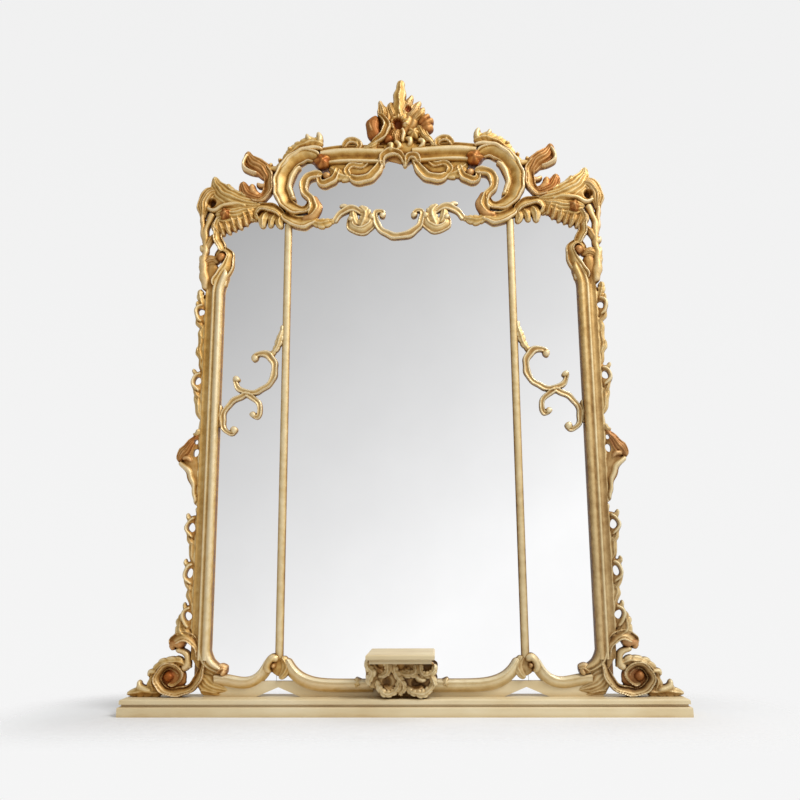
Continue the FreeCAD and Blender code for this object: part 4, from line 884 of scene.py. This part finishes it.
# %% The upper border
upper = [
    mass([(60.4, 76.0), (61.4, 72.6), (62.6, 69.0), (62.2, 65.6), (61.0, 60.4), (60.4, 54.0)],
         [0.4, 0.75, 1.3, 1.1, 0.66, 0.4], 0.48, bole=0.3),
    roll([(60.8, 54.4), (61.4, 59.6), (62.4, 63.0), (64.2, 65.4), (66.2, 66.8)],
         [0.26, 0.36, 0.42, 0.45, 0.3], 0.64),
    fluted([(60.8, 75.2), (62.6, 72.2), (64.6, 69.6), (66.6, 67.0)], [0.36, 0.8, 1.0, 0.42], 0.72,
           bole=0.85),
    roll([(61.8, 66.6), (63.4, 67.8), (65.2, 67.4)], [0.4, 0.55, 0.4], 0.7, bole=0.7),
    leaf([(60.4, 76.6), (61.4, 75.2), (62.4, 75.4)], [0.36, 0.36, 0.2], 0.6),
    roll([(59.9, 53.6), (60.0, 88.0), (59.9, 119.8)], upright, 0.4),
    leaf([(60.2, 80.4), (61.2, 84.0), (62.2, 87.2)], [0.4, 0.55, 0.26], 0.52),
    leaf([(60.2, 97.8), (61.6, 100.6), (62.0, 102.8)], [0.4, 0.55, 0.26], 0.52),
    leaf([(60.2, 104.4), (61.2, 106.6), (60.6, 109.0)], [0.4, 0.5, 0.36], 0.5),
    leaf([(60.6, 115.6), (61.8, 118.0), (61.6, 120.8)], [0.5, 0.62, 0.45], 0.56, lobes=1.7),
]
high_heights = (91.4, 113.2)
upper += border_links((77.0, *high_heights))
for height in high_heights:
    upper += border_opening(height)
upper += [opening((61.3, height), 0.25) for height in high_heights]
upper += [opening((61.1, 69.4), 0.22), opening((61.0, 72.8), 0.16)]
lay_pair("upper_border", upper)

# %% [markdown]
# ## Heads of the stiles and the corners
# Each stile curls inwards at its head, and two strands climb from there to an acanthus leaf at the
# corner. A drooping ruffle hangs from the leaf over the glass, and a curled horn stands on it.

# %% The stile's curled head
heads = stile_lengths([(57.3, 118.6), (57.0, 121.4), (56.0, 124.4), (54.6, 127.4)], [1.37, 1.35, 1.3, 1.15],
                      0.85, (1,))
lay_pair("stile_scroll", [
    mass([(58.9, 119.4), (58.9, 124.0), (58.6, 129.4)], [0.8, 1.2, 1.3], 0.5, bole=0.3),
    band([(57.2, 131.0), (56.6, 133.0), (54.8, 133.7), (53.2, 132.4), (53.0, 130.0), (54.0, 127.2),
          (55.6, 124.2), (56.8, 121.0)], [0.34, 0.5, 0.6, 0.7, 0.85, 1.0, 1.2, 1.3], 0.9),
    knob((55.6, 131.0), 0.34, 0.84, bole=0.9),
    band([(54.6, 133.0), (56.0, 135.2), (57.0, 138.0), (56.8, 141.2), (55.8, 144.4)][::-1],
         [0.9, 0.8, 0.75, 0.75, 0.62], 0.8),
    roll([(60.0, 120.6), (60.9, 125.6), (61.2, 130.2), (60.8, 134.0), (61.0, 138.4), (60.4, 142.4),
          (58.6, 146.0)], [0.66, 0.8, 0.66, 0.5, 0.5, 0.5, 0.6], 0.68, bole=0.15),
    roll([(61.4, 136.0), (62.0, 140.6), (62.0, 146.0)], [0.34, 0.4, 0.45], 0.56, bole=0.3),
    leaf([(60.8, 134.2), (59.6, 136.6), (57.4, 139.2)], [0.3, 0.6, 0.36], 0.66, bole=0.2),
    fluted([(56.4, 129.4), (58.6, 130.4), (61.2, 129.4)], [0.6, 0.8, 0.6], 0.62, bole=0.4),
    roll([(60.8, 126.2), (62.0, 127.6), (62.2, 128.8)], [0.4, 0.45, 0.26], 0.55),
    roll([(60.8, 129.4), (62.0, 130.8), (62.4, 132.2)], [0.4, 0.45, 0.26], 0.55),
    roll([(60.6, 133.0), (61.8, 134.2), (62.2, 135.4)], [0.4, 0.45, 0.26], 0.55),
], heads[:1], heads[1:])

# %% Acanthus at the corner
lay_pair("corner_leaf", [
    mass([(43.0, 148.2), (50.0, 148.6), (56.4, 149.8), (60.4, 148.6)], [0.7, 1.3, 1.8, 1.4], 0.62,
         bole=0.2),
    fluted([(43.6, 148.4), (49.0, 149.6), (53.6, 151.2), (57.0, 154.0), (59.2, 158.5)],
           [0.6, 1.3, 1.7, 1.4, 0.36], 0.9),
    leaf([(47.6, 151.0), (49.6, 152.2), (50.2, 153.8)], [0.66, 0.62, 0.26], 0.72),
    leaf([(52.2, 153.0), (54.0, 154.6), (54.6, 156.2)], [0.66, 0.62, 0.26], 0.76),
    fluted([(57.4, 153.8), (60.4, 152.2), (61.8, 149.0), (61.9, 144.0)], [0.8, 1.2, 1.1, 0.4], 0.86,
           bole=0.2),
    roll([(61.0, 147.6), (58.8, 146.7), (56.4, 147.4), (53.0, 148.6), (48.0, 147.8)],
         [0.34, 0.45, 0.5, 0.45, 0.3], 0.84),
    eye((59.2, 149.4), 0.36, 0.55),
])

# %% The drooping ruffle and the hooked scroll beside it
droops = [(57.4, 138.8, 0.62), (55.6, 138.5, 0.5), (53.7, 138.9, 0.62), (51.9, 140.0, 0.46),
          (50.1, 140.4, 0.58), (48.3, 141.8, 0.46), (46.7, 143.0, 0.5)]
drooping = [leaf([(x + 0.8, foot + 4.4), (x + 0.4, foot + 2.2), (x - 0.7, foot)], [0.45, wide, 0.26],
                 0.5 + wide / 2, bole=0.15)
            for x, foot, wide in droops]
lay_pair("gadroon", drooping + [
    mass([(57.4, 141.2), (51.0, 142.8), (45.4, 145.4)], [1.15, 1.1, 0.8], 0.5, bole=0.6),
    fluted([(58.0, 145.2), (52.0, 145.8), (45.6, 147.4)], [1.5, 1.5, 0.9], 0.84),
    band([(44.2, 143.6), (45.8, 145.2), (44.6, 147.2), (41.6, 147.6), (38.6, 146.6), (36.6, 144.2)],
         [0.5, 0.7, 0.78, 0.8, 0.74, 0.5], 0.82),
    mass([(37.6, 144.4), (41.0, 145.1), (44.4, 144.8)], [0.6, 0.9, 0.8], 0.45, bole=0.5),
    leaf([(36.6, 145.4), (37.6, 142.8), (37.2, 140.4)], [0.55, 0.7, 0.45], 0.6),
    leaf([(38.8, 145.6), (40.2, 143.0), (40.0, 140.9)], [0.5, 0.66, 0.45], 0.6),
    leaf([(41.0, 146.0), (43.0, 143.2), (42.8, 140.7)], [0.55, 0.75, 0.5], 0.66),
    knob((54.6, 145.2), 0.5, 1.0, petals=5, bole=1.0),
    knob((54.6, 145.2), 0.2, 1.08, bole=0.8),
])

# %% The horn
lay_pair("horn", [
    band([(47.0, 151.0), (43.6, 150.7), (41.7, 152.8), (41.3, 156.2), (41.9, 159.4), (43.6, 161.6)],
         [0.7, 0.76, 0.8, 0.82, 0.84, 0.6], 0.8, bole=0.35),
    fluted([(41.6, 156.8), (43.0, 160.2), (46.0, 162.4), (47.8, 164.4), (48.0, 167.1)],
           [0.8, 1.2, 1.5, 1.1, 0.34], 0.92, bole=0.75),
    roll([(48.0, 165.6), (49.2, 163.8), (49.3, 161.4), (47.4, 159.6), (44.8, 159.2)],
         [0.22, 0.34, 0.4, 0.36, 0.26], 0.94),
    fluted([(42.6, 150.8), (46.2, 151.2), (48.7, 153.2), (49.3, 156.9)], [0.8, 1.15, 1.1, 0.4], 0.8,
           bole=0.8),
    roll([(44.4, 151.4), (46.2, 153.0), (46.9, 155.8)], [0.7, 0.75, 0.4], 0.7, bole=0.7),
    roll([(42.2, 155.0), (44.0, 155.0), (45.4, 156.0)], [0.6, 0.5, 0.3], 0.55, bole=0.4),
    roll([(38.0, 160.4), (40.4, 160.8), (42.6, 160.4)], [0.5, 0.55, 0.55], 0.5),
    knob((41.0, 162.2), 0.17, 0.5),
])

# %% [markdown]
# ## The arch
# Large C-scrolls carry the arch, each with a flower at its inner end and a ruffled leaf along its top. A
# moulded frieze joins them to the crest, with lighter scrolls hanging below it.

# %% C-scrolls
lay_pair("c_scroll", [
    band([(25.0, 163.2), (28.6, 165.0), (32.2, 164.0), (35.2, 161.0), (37.0, 157.4), (37.3, 153.8),
          (36.4, 150.4), (34.2, 147.6), (31.2, 146.4), (28.9, 147.2), (28.2, 149.2), (29.0, 151.0)],
         [0.8, 1.05, 1.2, 1.28, 1.32, 1.34, 1.32, 1.25, 1.05, 0.8, 0.6, 0.4], 0.88),
    roll([(31.0, 161.2), (33.4, 158.8), (34.4, 155.6), (34.1, 152.4), (33.0, 150.2)],
         [0.3, 0.42, 0.46, 0.42, 0.34], 0.72),
    knob((33.1, 150.3), 0.2, 0.82),
    scroll([(24.0, 158.0), (27.4, 158.2), (29.6, 156.4), (30.2, 153.6), (28.8, 151.2), (27.2, 149.0),
            (27.0, 146.6), (28.6, 144.6)], [0.6, 0.72, 0.74, 0.72, 0.7, 0.7, 0.7, 0.55], 0.7),
    roll([(27.2, 151.2), (25.8, 149.0), (25.7, 146.4), (27.6, 143.9), (30.6, 143.3)],
         [0.36, 0.6, 0.8, 0.8, 0.55], 0.58, bole=0.8),
    knob((24.2, 162.4), 0.66, 1.0, petals=5, bole=1.0),
    knob((24.2, 162.4), 0.26, 1.1, bole=1.0),
    band([(36.8, 145.6), (33.0, 142.8), (29.8, 142.3), (26.2, 143.6)], [0.7, 1.05, 1.05, 0.6], 0.68),
    leaf([(28.0, 143.2), (25.6, 142.1), (22.8, 142.0), (20.0, 143.2)], [0.6, 0.8, 0.8, 0.4], 0.56,
         lobes=2.2),
])

# %% Their ruffled crests
lay_pair("scroll_crest", [
    leaf([(24.0, 169.2), (27.4, 169.6), (31.0, 168.6), (34.4, 166.2), (37.0, 163.2), (39.2, 160.2)],
         [0.95, 1.15, 1.05, 0.85, 0.6, 0.34], 0.68, lobes=2.0),
    roll([(24.2, 166.8), (28.4, 167.2), (31.8, 166.0), (34.8, 163.5), (37.8, 160.0)],
         [0.4, 0.48, 0.5, 0.48, 0.36], 0.84),
    roll([(25.0, 169.4), (25.4, 171.6), (25.7, 173.1)], [0.6, 0.5, 0.36], 0.66),
    roll([(28.4, 169.8), (29.0, 171.4), (29.4, 172.5)], [0.5, 0.45, 0.34], 0.66),
    knob((38.0, 163.8), 0.16, 0.6),
    knob((34.8, 167.7), 0.16, 0.6),
])

# %% The frieze and the scrolls below it
lay_pair("arch_rail", [
    scroll([(17.6, 167.4), (15.8, 169.2), (13.4, 169.2), (12.4, 167.6), (13.6, 166.4)],
           [0.45, 0.6, 0.66, 0.55, 0.36], 0.82),
    roll([(15.0, 168.6), (15.3, 169.8), (15.4, 170.8)], [0.45, 0.4, 0.3], 0.66),
    roll([(13.0, 168.4), (13.2, 169.6), (13.2, 170.3)], [0.45, 0.4, 0.3], 0.66),
], [moulding(FRIEZE, [(24.6, 164.2), (18.0, 164.9), (12.0, 164.8), (4.6, 164.4)], [1.65, 1.7, 1.7, 1.7],
             0.8)])
lay_pair("arch_scroll", [
    scroll([(5.2, 163.6), (6.2, 160.4), (8.2, 157.7), (10.8, 156.3), (13.6, 156.3), (15.8, 157.8)],
           [0.6, 0.72, 0.78, 0.76, 0.7, 0.5], 0.68),
    mass([(7.6, 161.6), (11.0, 159.8), (14.6, 159.6), (18.0, 160.6), (22.0, 161.2)],
         [0.5, 0.85, 0.95, 0.95, 0.85], 0.36),
    scroll([(15.6, 157.6), (16.3, 159.6), (14.4, 161.2), (11.6, 161.0), (9.6, 162.4)],
           [0.55, 0.6, 0.55, 0.5, 0.45], 0.6),
    leaf([(14.8, 157.4), (17.4, 157.5), (19.8, 158.8), (21.8, 161.0)], [0.6, 0.95, 0.95, 0.6], 0.6,
         lobes=2.2),
    scroll([(19.4, 160.4), (20.0, 157.4), (21.9, 155.6), (24.2, 155.3), (25.4, 156.8), (24.6, 158.4)],
           [0.5, 0.6, 0.62, 0.6, 0.5, 0.4], 0.68),
    knob((22.8, 157.6), 0.34, 0.75, bole=0.6),
])

# %% [markdown]
# ## The crest
# The top is a shell of ruffled leaves with a flame in the middle, red clay in its hollows and a rosette
# at its foot. It leans a little to one side, as the old carver left it, so this piece is drawn whole
# and not mirrored.

# %% Flames and lobes of the crest
leaflets = [[(2.0, 178.0), (3.4, 182.0), (4.5, 185.6)], [(3.8, 177.4), (5.8, 180.6), (7.2, 183.3)],
            [(5.2, 176.4), (7.2, 178.8), (8.7, 180.8)], [(-4.2, 177.4), (-5.1, 180.6), (-5.7, 183.7)],
            [(-1.4, 177.6), (-2.2, 180.6), (-2.4, 183.2)]]
crest = [
    mass([(0.6, 161.8), (0.4, 170.0), (1.0, 181.0)], [2.6, 4.0, 2.6], 0.46, bole=0.5, dull=-0.2),
    mass([(-8.0, 165.6), (1.0, 166.6), (9.5, 165.6)], [1.0, 1.4, 1.0], 0.6),
    fluted([(2.2, 172.0), (3.4, 176.5), (4.2, 181.0)], [2.2, 2.7, 1.7], 0.62, bole=0.35),
    fluted([(-2.4, 174.0), (-3.0, 178.0), (-3.4, 181.4)], [1.7, 1.7, 0.9], 0.6, bole=0.3),
    leaf([(1.0, 176.0), (0.5, 182.6), (0.8, 187.4), (1.3, 190.9)], [1.1, 1.1, 1.0, 0.5], 0.8, bole=0.1,
         dull=0.1),
]
crest += [fluted(line, [0.85, 0.85, 0.24], 0.74, bole=0.25, dull=-0.05) for line in leaflets]
ribs = [[(7.0, 172.4), (9.2, 173.0), (11.4, 174.2)], [(7.0, 173.4), (9.2, 174.7), (11.2, 176.3)],
        [(6.8, 174.4), (8.5, 176.3), (9.9, 178.2)]]
crest += [roll(line, [0.5, 0.72, 0.5], 0.86, bole=1.0, dull=0.15) for line in ribs]
crest += [
    mass([(-6.2, 169.6), (-7.8, 172.6), (-8.0, 175.4), (-6.8, 178.2)], [0.8, 1.15, 1.15, 0.5], 0.88,
         bole=1.0),
    roll([(-7.0, 170.6), (-8.8, 173.4), (-8.4, 176.8)], [0.24, 0.34, 0.24], 0.9, bole=0.7),
    scroll([(-6.3, 178.6), (-4.2, 176.4), (-3.6, 173.4), (-5.0, 170.6), (-8.3, 168.2)],
           [0.36, 0.6, 0.7, 0.66, 0.42], 1.0),
]
print(len(crest), "strokes in the crest so far")

# %% Ruffle, hollows, rosette and collar
def spoke(turn):
    """A short line outwards from the middle of the ruffle."""
    return [(0.3 + reach * math.cos(turn), 175.0 + reach * math.sin(turn)) for reach in (1.0, 2.2, 3.4)]


turns = np.radians([-10, 25, 60, 95, 130, 165, 195])
crest += [leaf(spoke(turn), [0.36, 0.56, 0.4], 0.88) for turn in turns]
curls = [[(2.2, 169.8), (3.6, 169.4), (4.0, 167.8), (2.8, 167.0)],
         [(6.0, 169.0), (7.6, 168.8), (7.8, 167.0), (6.4, 166.4)],
         [(-1.6, 168.2), (-0.2, 168.0), (0.4, 166.6), (-0.6, 165.8)],
         [(-3.4, 167.8), (-2.2, 167.4), (-2.2, 166.0), (-3.4, 165.6)]]
crest += [roll(line, [0.36, 0.52, 0.5, 0.36], 0.84) for line in curls]
crest += [
    fluted([(-0.2, 173.4), (-0.5, 171.0), (-0.9, 168.2)], [0.6, 0.8, 0.8], 0.84, bole=0.4),
    roll([(1.2, 173.4), (1.8, 171.0), (1.4, 168.4)], [0.34, 0.46, 0.42], 0.8),
    knob((-3.0, 169.7), 0.38, 0.88, bole=1.0, dull=0.2),
    knob((5.0, 171.2), 0.56, 1.0, petals=6),
    knob((5.0, 171.2), 0.2, 1.06, bole=0.7),
    fluted([(6.2, 174.4), (8.2, 170.8), (10.4, 168.2), (12.6, 166.8)], [0.5, 0.85, 0.8, 0.42], 0.94),
    fluted([(-6.0, 169.4), (-8.4, 167.4), (-11.4, 166.6)], [0.6, 0.75, 0.42], 0.88),
    scroll([(-5.2, 160.8), (-4.8, 163.6), (-2.4, 165.2), (0.4, 164.4), (2.2, 161.6)],
           [0.42, 0.62, 0.7, 0.62, 0.42], 0.88),
    scroll([(2.4, 161.6), (3.8, 163.6), (5.4, 163.4), (6.9, 161.2)], [0.42, 0.6, 0.6, 0.42], 0.88),
    leaf([(2.2, 164.0), (2.2, 162.0), (2.2, 160.2)], [0.5, 0.42, 0.24], 0.8),
    eye((0.0, 174.9), 0.5, 0.28, bole=1.0),
    eye((3.2, 180.0), 0.3, 0.22, bole=1.0),
    eye((-5.8, 166.8), 0.34, 0.4, bole=1.0),
    eye((9.4, 167.4), 0.24, 0.35, bole=0.9),
]
lay_carving("crest_shell", crest)

# %% [markdown]
# ## Scrolls on the glass
# Thin pierced scrolls are glued straight to the plates: a festoon across the middle under the arch,
# and an S-scroll on each side plate. They are the same strokes, only shallower and standing on the
# face of the glass, so the mirror doubles their edges.

# %% Festoon and side scrolls
applied = {"back": GLASS_FACE, "depth": SHALLOW, "pale": 0.35}
lay_pair("festoon_link", [
    band([(15.2, 143.4), (15.2, 141.0), (13.2, 139.4), (10.6, 139.4), (8.6, 141.0), (8.0, 143.8)][::-1],
         [0.5, 0.7, 0.75, 0.75, 0.66, 0.5], 0.9),
    leaf([(12.4, 140.0), (10.8, 142.4), (10.6, 145.0), (12.2, 147.6)], [0.7, 1.0, 0.95, 0.4], 1.0,
         lobes=1.8),
    scroll([(11.4, 144.6), (13.6, 146.4), (16.0, 146.5), (18.2, 145.2), (20.4, 142.4)],
           [0.5, 0.62, 0.62, 0.56, 0.5], 0.85),
    leaf([(12.6, 141.2), (14.2, 143.2), (14.2, 145.8)], [0.5, 0.66, 0.5], 0.9),
    roll([(16.4, 146.6), (17.4, 147.6), (18.6, 147.4)], [0.4, 0.4, 0.26], 0.7),
    knob((8.4, 143.8), 0.24, 1.0),
    knob((15.2, 143.2), 0.22, 1.0),
], **applied)
half = [(4.8, 143.7), (5.4, 145.5), (6.9, 145.3), (7.4, 143.4), (6.8, 141.2), (5.0, 138.9), (2.6, 137.5)]
lay_carving("festoon_centre", [
    scroll([(-x, z) for x, z in half] + [(0, 137.1)] + half[::-1],
           [0.3, 0.42, 0.5, 0.56, 0.6, 0.56, 0.5, 0.42, 0.3], 1.0),
    knob((5.0, 144.0), 0.24, 1.0),
    knob((-5.0, 144.0), 0.24, 1.0),
], **applied)
lay_pair("applique", [
    scroll([(44.5, 98.6), (43.0, 99.8), (40.6, 99.6), (38.8, 97.8), (38.0, 95.0), (38.8, 91.6),
            (41.2, 89.0), (44.6, 87.7), (48.0, 88.4), (49.9, 90.4), (50.0, 92.0)],
           [0.34, 0.46, 0.55, 0.5, 0.46, 0.46, 0.46, 0.44, 0.38, 0.3], 1.0),
    scroll([(46.0, 87.4), (49.6, 85.8), (52.2, 83.4), (53.3, 80.8), (53.4, 78.2), (52.4, 76.2),
            (50.9, 75.3), (49.6, 75.7)], [0.4, 0.46, 0.44, 0.42, 0.44, 0.44, 0.3], 0.9),
    scroll([(47.0, 87.4), (44.4, 86.0), (42.6, 84.0), (42.2, 81.8), (43.2, 80.2), (44.5, 80.6)],
           [0.42, 0.48, 0.46, 0.42, 0.34, 0.26], 0.9),
    leaf([(39.4, 98.6), (38.0, 101.2), (36.7, 104.0), (36.0, 108.8)], [0.4, 0.55, 0.6, 0.3], 0.9,
         lobes=1.8),
    leaf([(54.5, 84.0), (54.3, 80.6), (54.5, 77.0)], [0.26, 0.42, 0.26], 0.9),
    knob((44.3, 98.3), 0.26, 1.0),
    knob((49.6, 91.9), 0.24, 1.0),
    knob((50.0, 76.2), 0.26, 1.0),
    knob((44.2, 81.0), 0.24, 1.0),
], **applied)

# %% [markdown]
# ## The console under the shelf
# A small bracket shelf stands in front of the glass on a cluster of rocaille scrolls. A relief alone
# would look flat from the side. So a core in a middle tone follows the bracket's solid, ring by ring,
# and the relief is laid on its front.

# %% The console's core
low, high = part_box("shelf_console")
console_half, console_foot, console_head = high.x, low.z, high.z
levels = [(0.0, 0.72, 0.40), (0.2, 0.9, 0.48), (0.45, 0.84, 0.46), (0.7, 0.92, 0.6), (1.0, 1.0, 0.8)]
outline = [(-1.0, 0.0), (-1.0, 0.5), (-0.8, 0.8), (-0.45, 0.86), (-0.2, 0.74), (0.0, 0.9), (0.2, 0.74),
           (0.45, 0.86), (0.8, 0.8), (1.0, 0.5), (1.0, 0.0)]
console_deep = GLASS_FACE - low.y
console_tall = console_head - console_foot
core = np.array([[(console_half * wide * x * 0.92, GLASS_FACE - console_deep * deep * y,
                   console_foot + console_tall * level)
                  for x, y in outline] for level, wide, deep in levels])
count = core.shape[0] * core.shape[1]
core_marks = {"tone": np.full(count, 0.55), "pale": np.full(count, 0.3), "bole": np.full(count, 0.2)}
core_shape = core.reshape(-1, 3), ring_faces(len(levels), len(outline)), core_marks
print("console core", count, "points")

# %% Rocaille on its front
rims = [
    [(-8.9, 10.6), (-9.3, 9.0), (-8.0, 7.0), (-9.0, 4.6), (-9.4, 3.4)],
    [(-2.2, 10.4), (-1.7, 7.6), (0.0, 5.0), (0.6, 3.0), (-0.6, 0.9)],
    [(-8.0, 9.6), (-5.7, 10.4), (-3.5, 9.0), (-3.9, 6.9), (-6.5, 6.2)],
    [(-6.5, 5.4), (-5.9, 2.6), (-3.1, 1.5), (-0.9, 2.8), (-1.3, 5.0)],
    [(-0.6, 7.6), (1.8, 6.4), (4.1, 7.2), (3.9, 9.4)],
    [(5.4, 9.4), (6.3, 6.5), (8.5, 6.7), (9.2, 9.2)],
    [(1.3, 3.3), (3.9, 1.5), (7.2, 2.0), (8.9, 4.6)],
    [(8.3, 6.2), (9.0, 4.6), (9.2, 3.2)],
]
rocaille = [mass([(-7.4, 5.8), (0.0, 5.8), (7.6, 5.8)], [2.2, 2.4, 2.2], 0.36),
            mass([(-7.4, 2.6), (-7.6, 6.0), (-7.6, 10.2)], [0.9, 1.0, 1.0], 0.4),
            mass([(7.4, 2.6), (7.6, 6.0), (7.6, 10.2)], [0.9, 1.0, 1.0], 0.4)]
rocaille += [leaf(line, [0.36, 0.55, 0.62, 0.55, 0.36], 0.9, lobes=1.5, dull=-0.15) for line in rims]
rocaille += [
    leaf([(-6.6, 8.2), (-5.2, 7.6), (-3.9, 7.2)], [0.4, 0.6, 0.5], 0.66, bole=0.6),
    leaf([(-4.6, 3.4), (-3.2, 2.6), (-1.8, 3.4)], [0.4, 0.5, 0.4], 0.66, bole=0.5),
    leaf([(0.6, 8.8), (1.8, 7.6), (3.0, 7.6)], [0.5, 0.6, 0.5], 0.66),
    leaf([(2.6, 3.4), (4.4, 2.4), (6.4, 3.0)], [0.4, 0.6, 0.5], 0.66, bole=0.5),
    roll([(4.0, 6.6), (5.2, 5.2), (7.0, 5.0)], [0.4, 0.5, 0.4], 0.8),
    eye((-5.9, 9.0), 0.3, 0.2),
    eye((1.0, 9.2), 0.36, 0.2),
    eye((7.4, 8.6), 0.3, 0.2),
    eye((-3.9, 4.4), 0.36, 0.2),
    eye((4.3, 4.0), 0.4, 0.2),
]
relief_deep = console_deep * 0.42
lay_carving("shelf_console", rocaille, [core_shape], back=GLASS_FACE - relief_deep, depth=relief_deep,
            pale=0.72)

# %% [markdown]
# ## Floor, light and backdrop
# A pale floor takes the plinth's shadow and fades out, so that no horizon shows. One soft lamp stands
# high on the right; the world lights the rest. Camera rays see a plain pale backdrop, and the mirror
# sees a room that is light below and on the right, and greyer above.

# %% The floor
rings = [0.4, 0.8, 1.2, 1.6]
turns = np.linspace(0, 2 * np.pi, 48, endpoint=False)
spots = [(reach * math.cos(turn), reach * math.sin(turn), 0.0) for reach in rings for turn in turns]
floor_mesh = bpy.data.meshes.new("floor")
floor_mesh.from_pydata(spots, [], ring_faces(len(rings), len(turns))[:-1])
floor = bpy.data.objects.new("floor", floor_mesh)
bpy.context.scene.collection.objects.link(floor)
print("floor", len(floor_mesh.polygons), "faces")

# %% The floor's finish and its fading edge
FADE = 0.45
floor_finish, tree, shader = new_finish("pale_floor")
greys = [(0.3, (0.77, 0.77, 0.77)), (0.7, (0.79, 0.79, 0.79))]
tree.links.new(ramp(tree, cloud(tree, 3), greys), shader.inputs["Base Color"])
shader.inputs["Roughness"].default_value = 0.9
shader.inputs["Specular IOR Level"].default_value = 0.1
place = tree.nodes.new("ShaderNodeTexCoord")
parts = tree.nodes.new("ShaderNodeSeparateXYZ")
tree.links.new(place.outputs["Object"], parts.inputs["Vector"])
squares = []
for axis, half in (("X", cad_box[1].x), ("Y", -cad_box[0].y)):
    past = maths(tree, "SUBTRACT", maths(tree, "ABSOLUTE", parts.outputs[axis]), half)
    squares.append(maths(tree, "POWER", maths(tree, "MAXIMUM", past, 0.0), 2.0))
away = maths(tree, "POWER", maths(tree, "ADD", *squares), 0.5)
fade = tree.nodes.new("ShaderNodeMapRange")
fade.interpolation_type = "SMOOTHSTEP"
fade.inputs["From Min"].default_value, fade.inputs["From Max"].default_value = 0.0, FADE
fade.inputs["To Min"].default_value, fade.inputs["To Max"].default_value = 1.0, 0.0
tree.links.new(away, fade.inputs["Value"])
tree.links.new(fade.outputs["Result"], shader.inputs["Alpha"])
floor_mesh.materials.append(floor_finish)
print("the floor fades out over", FADE, "m")

# %% The room's light
world = bpy.data.worlds.new("studio")
bpy.context.scene.world = world
world.use_nodes = True
tree = world.node_tree
ray = tree.nodes.new("ShaderNodeLightPath")
heading = tree.nodes.new("ShaderNodeTexCoord")
parts = tree.nodes.new("ShaderNodeSeparateXYZ")
tree.links.new(heading.outputs["Generated"], parts.inputs["Vector"])
HORIZON, UPWARD, SIDEWAYS, DARKEST = 0.952, -0.914, 0.65, 0.3
room = maths(tree, "MULTIPLY_ADD", parts.outputs["Z"], UPWARD, HORIZON)
room = maths(tree, "MULTIPLY_ADD", parts.outputs["X"], SIDEWAYS, room)
room = maths(tree, "MINIMUM", maths(tree, "MAXIMUM", room, DARKEST), 1.0)
backdrop = maths(tree, "MULTIPLY_ADD", parts.outputs["Z"], -0.05, 0.905)
AMBIENT = 0.6
seen = maths(tree, "MULTIPLY_ADD", ray.outputs["Is Glossy Ray"], maths(tree, "SUBTRACT", room, AMBIENT),
             AMBIENT)
direct = maths(tree, "MAXIMUM", ray.outputs["Is Camera Ray"], ray.outputs["Is Transmission Ray"])
seen = maths(tree, "ADD", maths(tree, "MULTIPLY", seen, maths(tree, "SUBTRACT", 1.0, direct)),
             maths(tree, "MULTIPLY", backdrop, direct))
tree.links.new(seen, tree.nodes["Background"].inputs["Strength"])
tree.nodes["Background"].inputs["Color"].default_value = (1, 1, 1, 1)
print("world with", len(tree.nodes), "nodes, ambient light", AMBIENT)

# %% The lamp
lamp_data = bpy.data.lights.new("soft_lamp", "AREA")
lamp_data.shape = "DISK"
lamp_data.size = 1.8
lamp_data.energy = 122
lamp = bpy.data.objects.new("soft_lamp", lamp_data)
lamp.location = (2.3, -1.8, 3.5)
aim = Vector((0, 0, 0.9)) - lamp.location
lamp.rotation_euler = aim.to_track_quat("-Z", "Y").to_euler()
bpy.context.scene.collection.objects.link(lamp)
print("lamp", round(aim.length, 2), "m from the middle of the mirror")

# %% [markdown]
# ## The camera
# The picture was taken from low down and a little to the right, looking up, so the uprights lean
# together. The camera's place and turn were worked out from the corners of the frame, for a square
# picture.

# %% The camera
STANDPOINT = (0.1016, -2.492, 0.3744)
yaw, pitch, tilt = math.radians(2.32), math.radians(11.74), math.radians(-0.38)
ahead = Vector((-math.sin(yaw) * math.cos(pitch), math.cos(yaw) * math.cos(pitch), math.sin(pitch)))
level = Vector((math.cos(yaw), math.sin(yaw), 0))
above = level.cross(ahead)
right_hand = level * math.cos(tilt) + above * math.sin(tilt)
upward = above * math.cos(tilt) - level * math.sin(tilt)
camera_data = bpy.data.cameras.new("camera")
camera_data.sensor_width = 36
camera_data.lens = 38.25
camera = bpy.data.objects.new("camera", camera_data)
turned = Matrix((right_hand, upward, -ahead)).transposed().to_4x4()
camera.matrix_world = Matrix.Translation(STANDPOINT) @ turned
bpy.context.scene.collection.objects.link(camera)
bpy.context.scene.camera = camera
bpy.context.scene.view_settings.view_transform = "Standard"
print("camera at", tuple(round(value, 3) for value in camera.location))
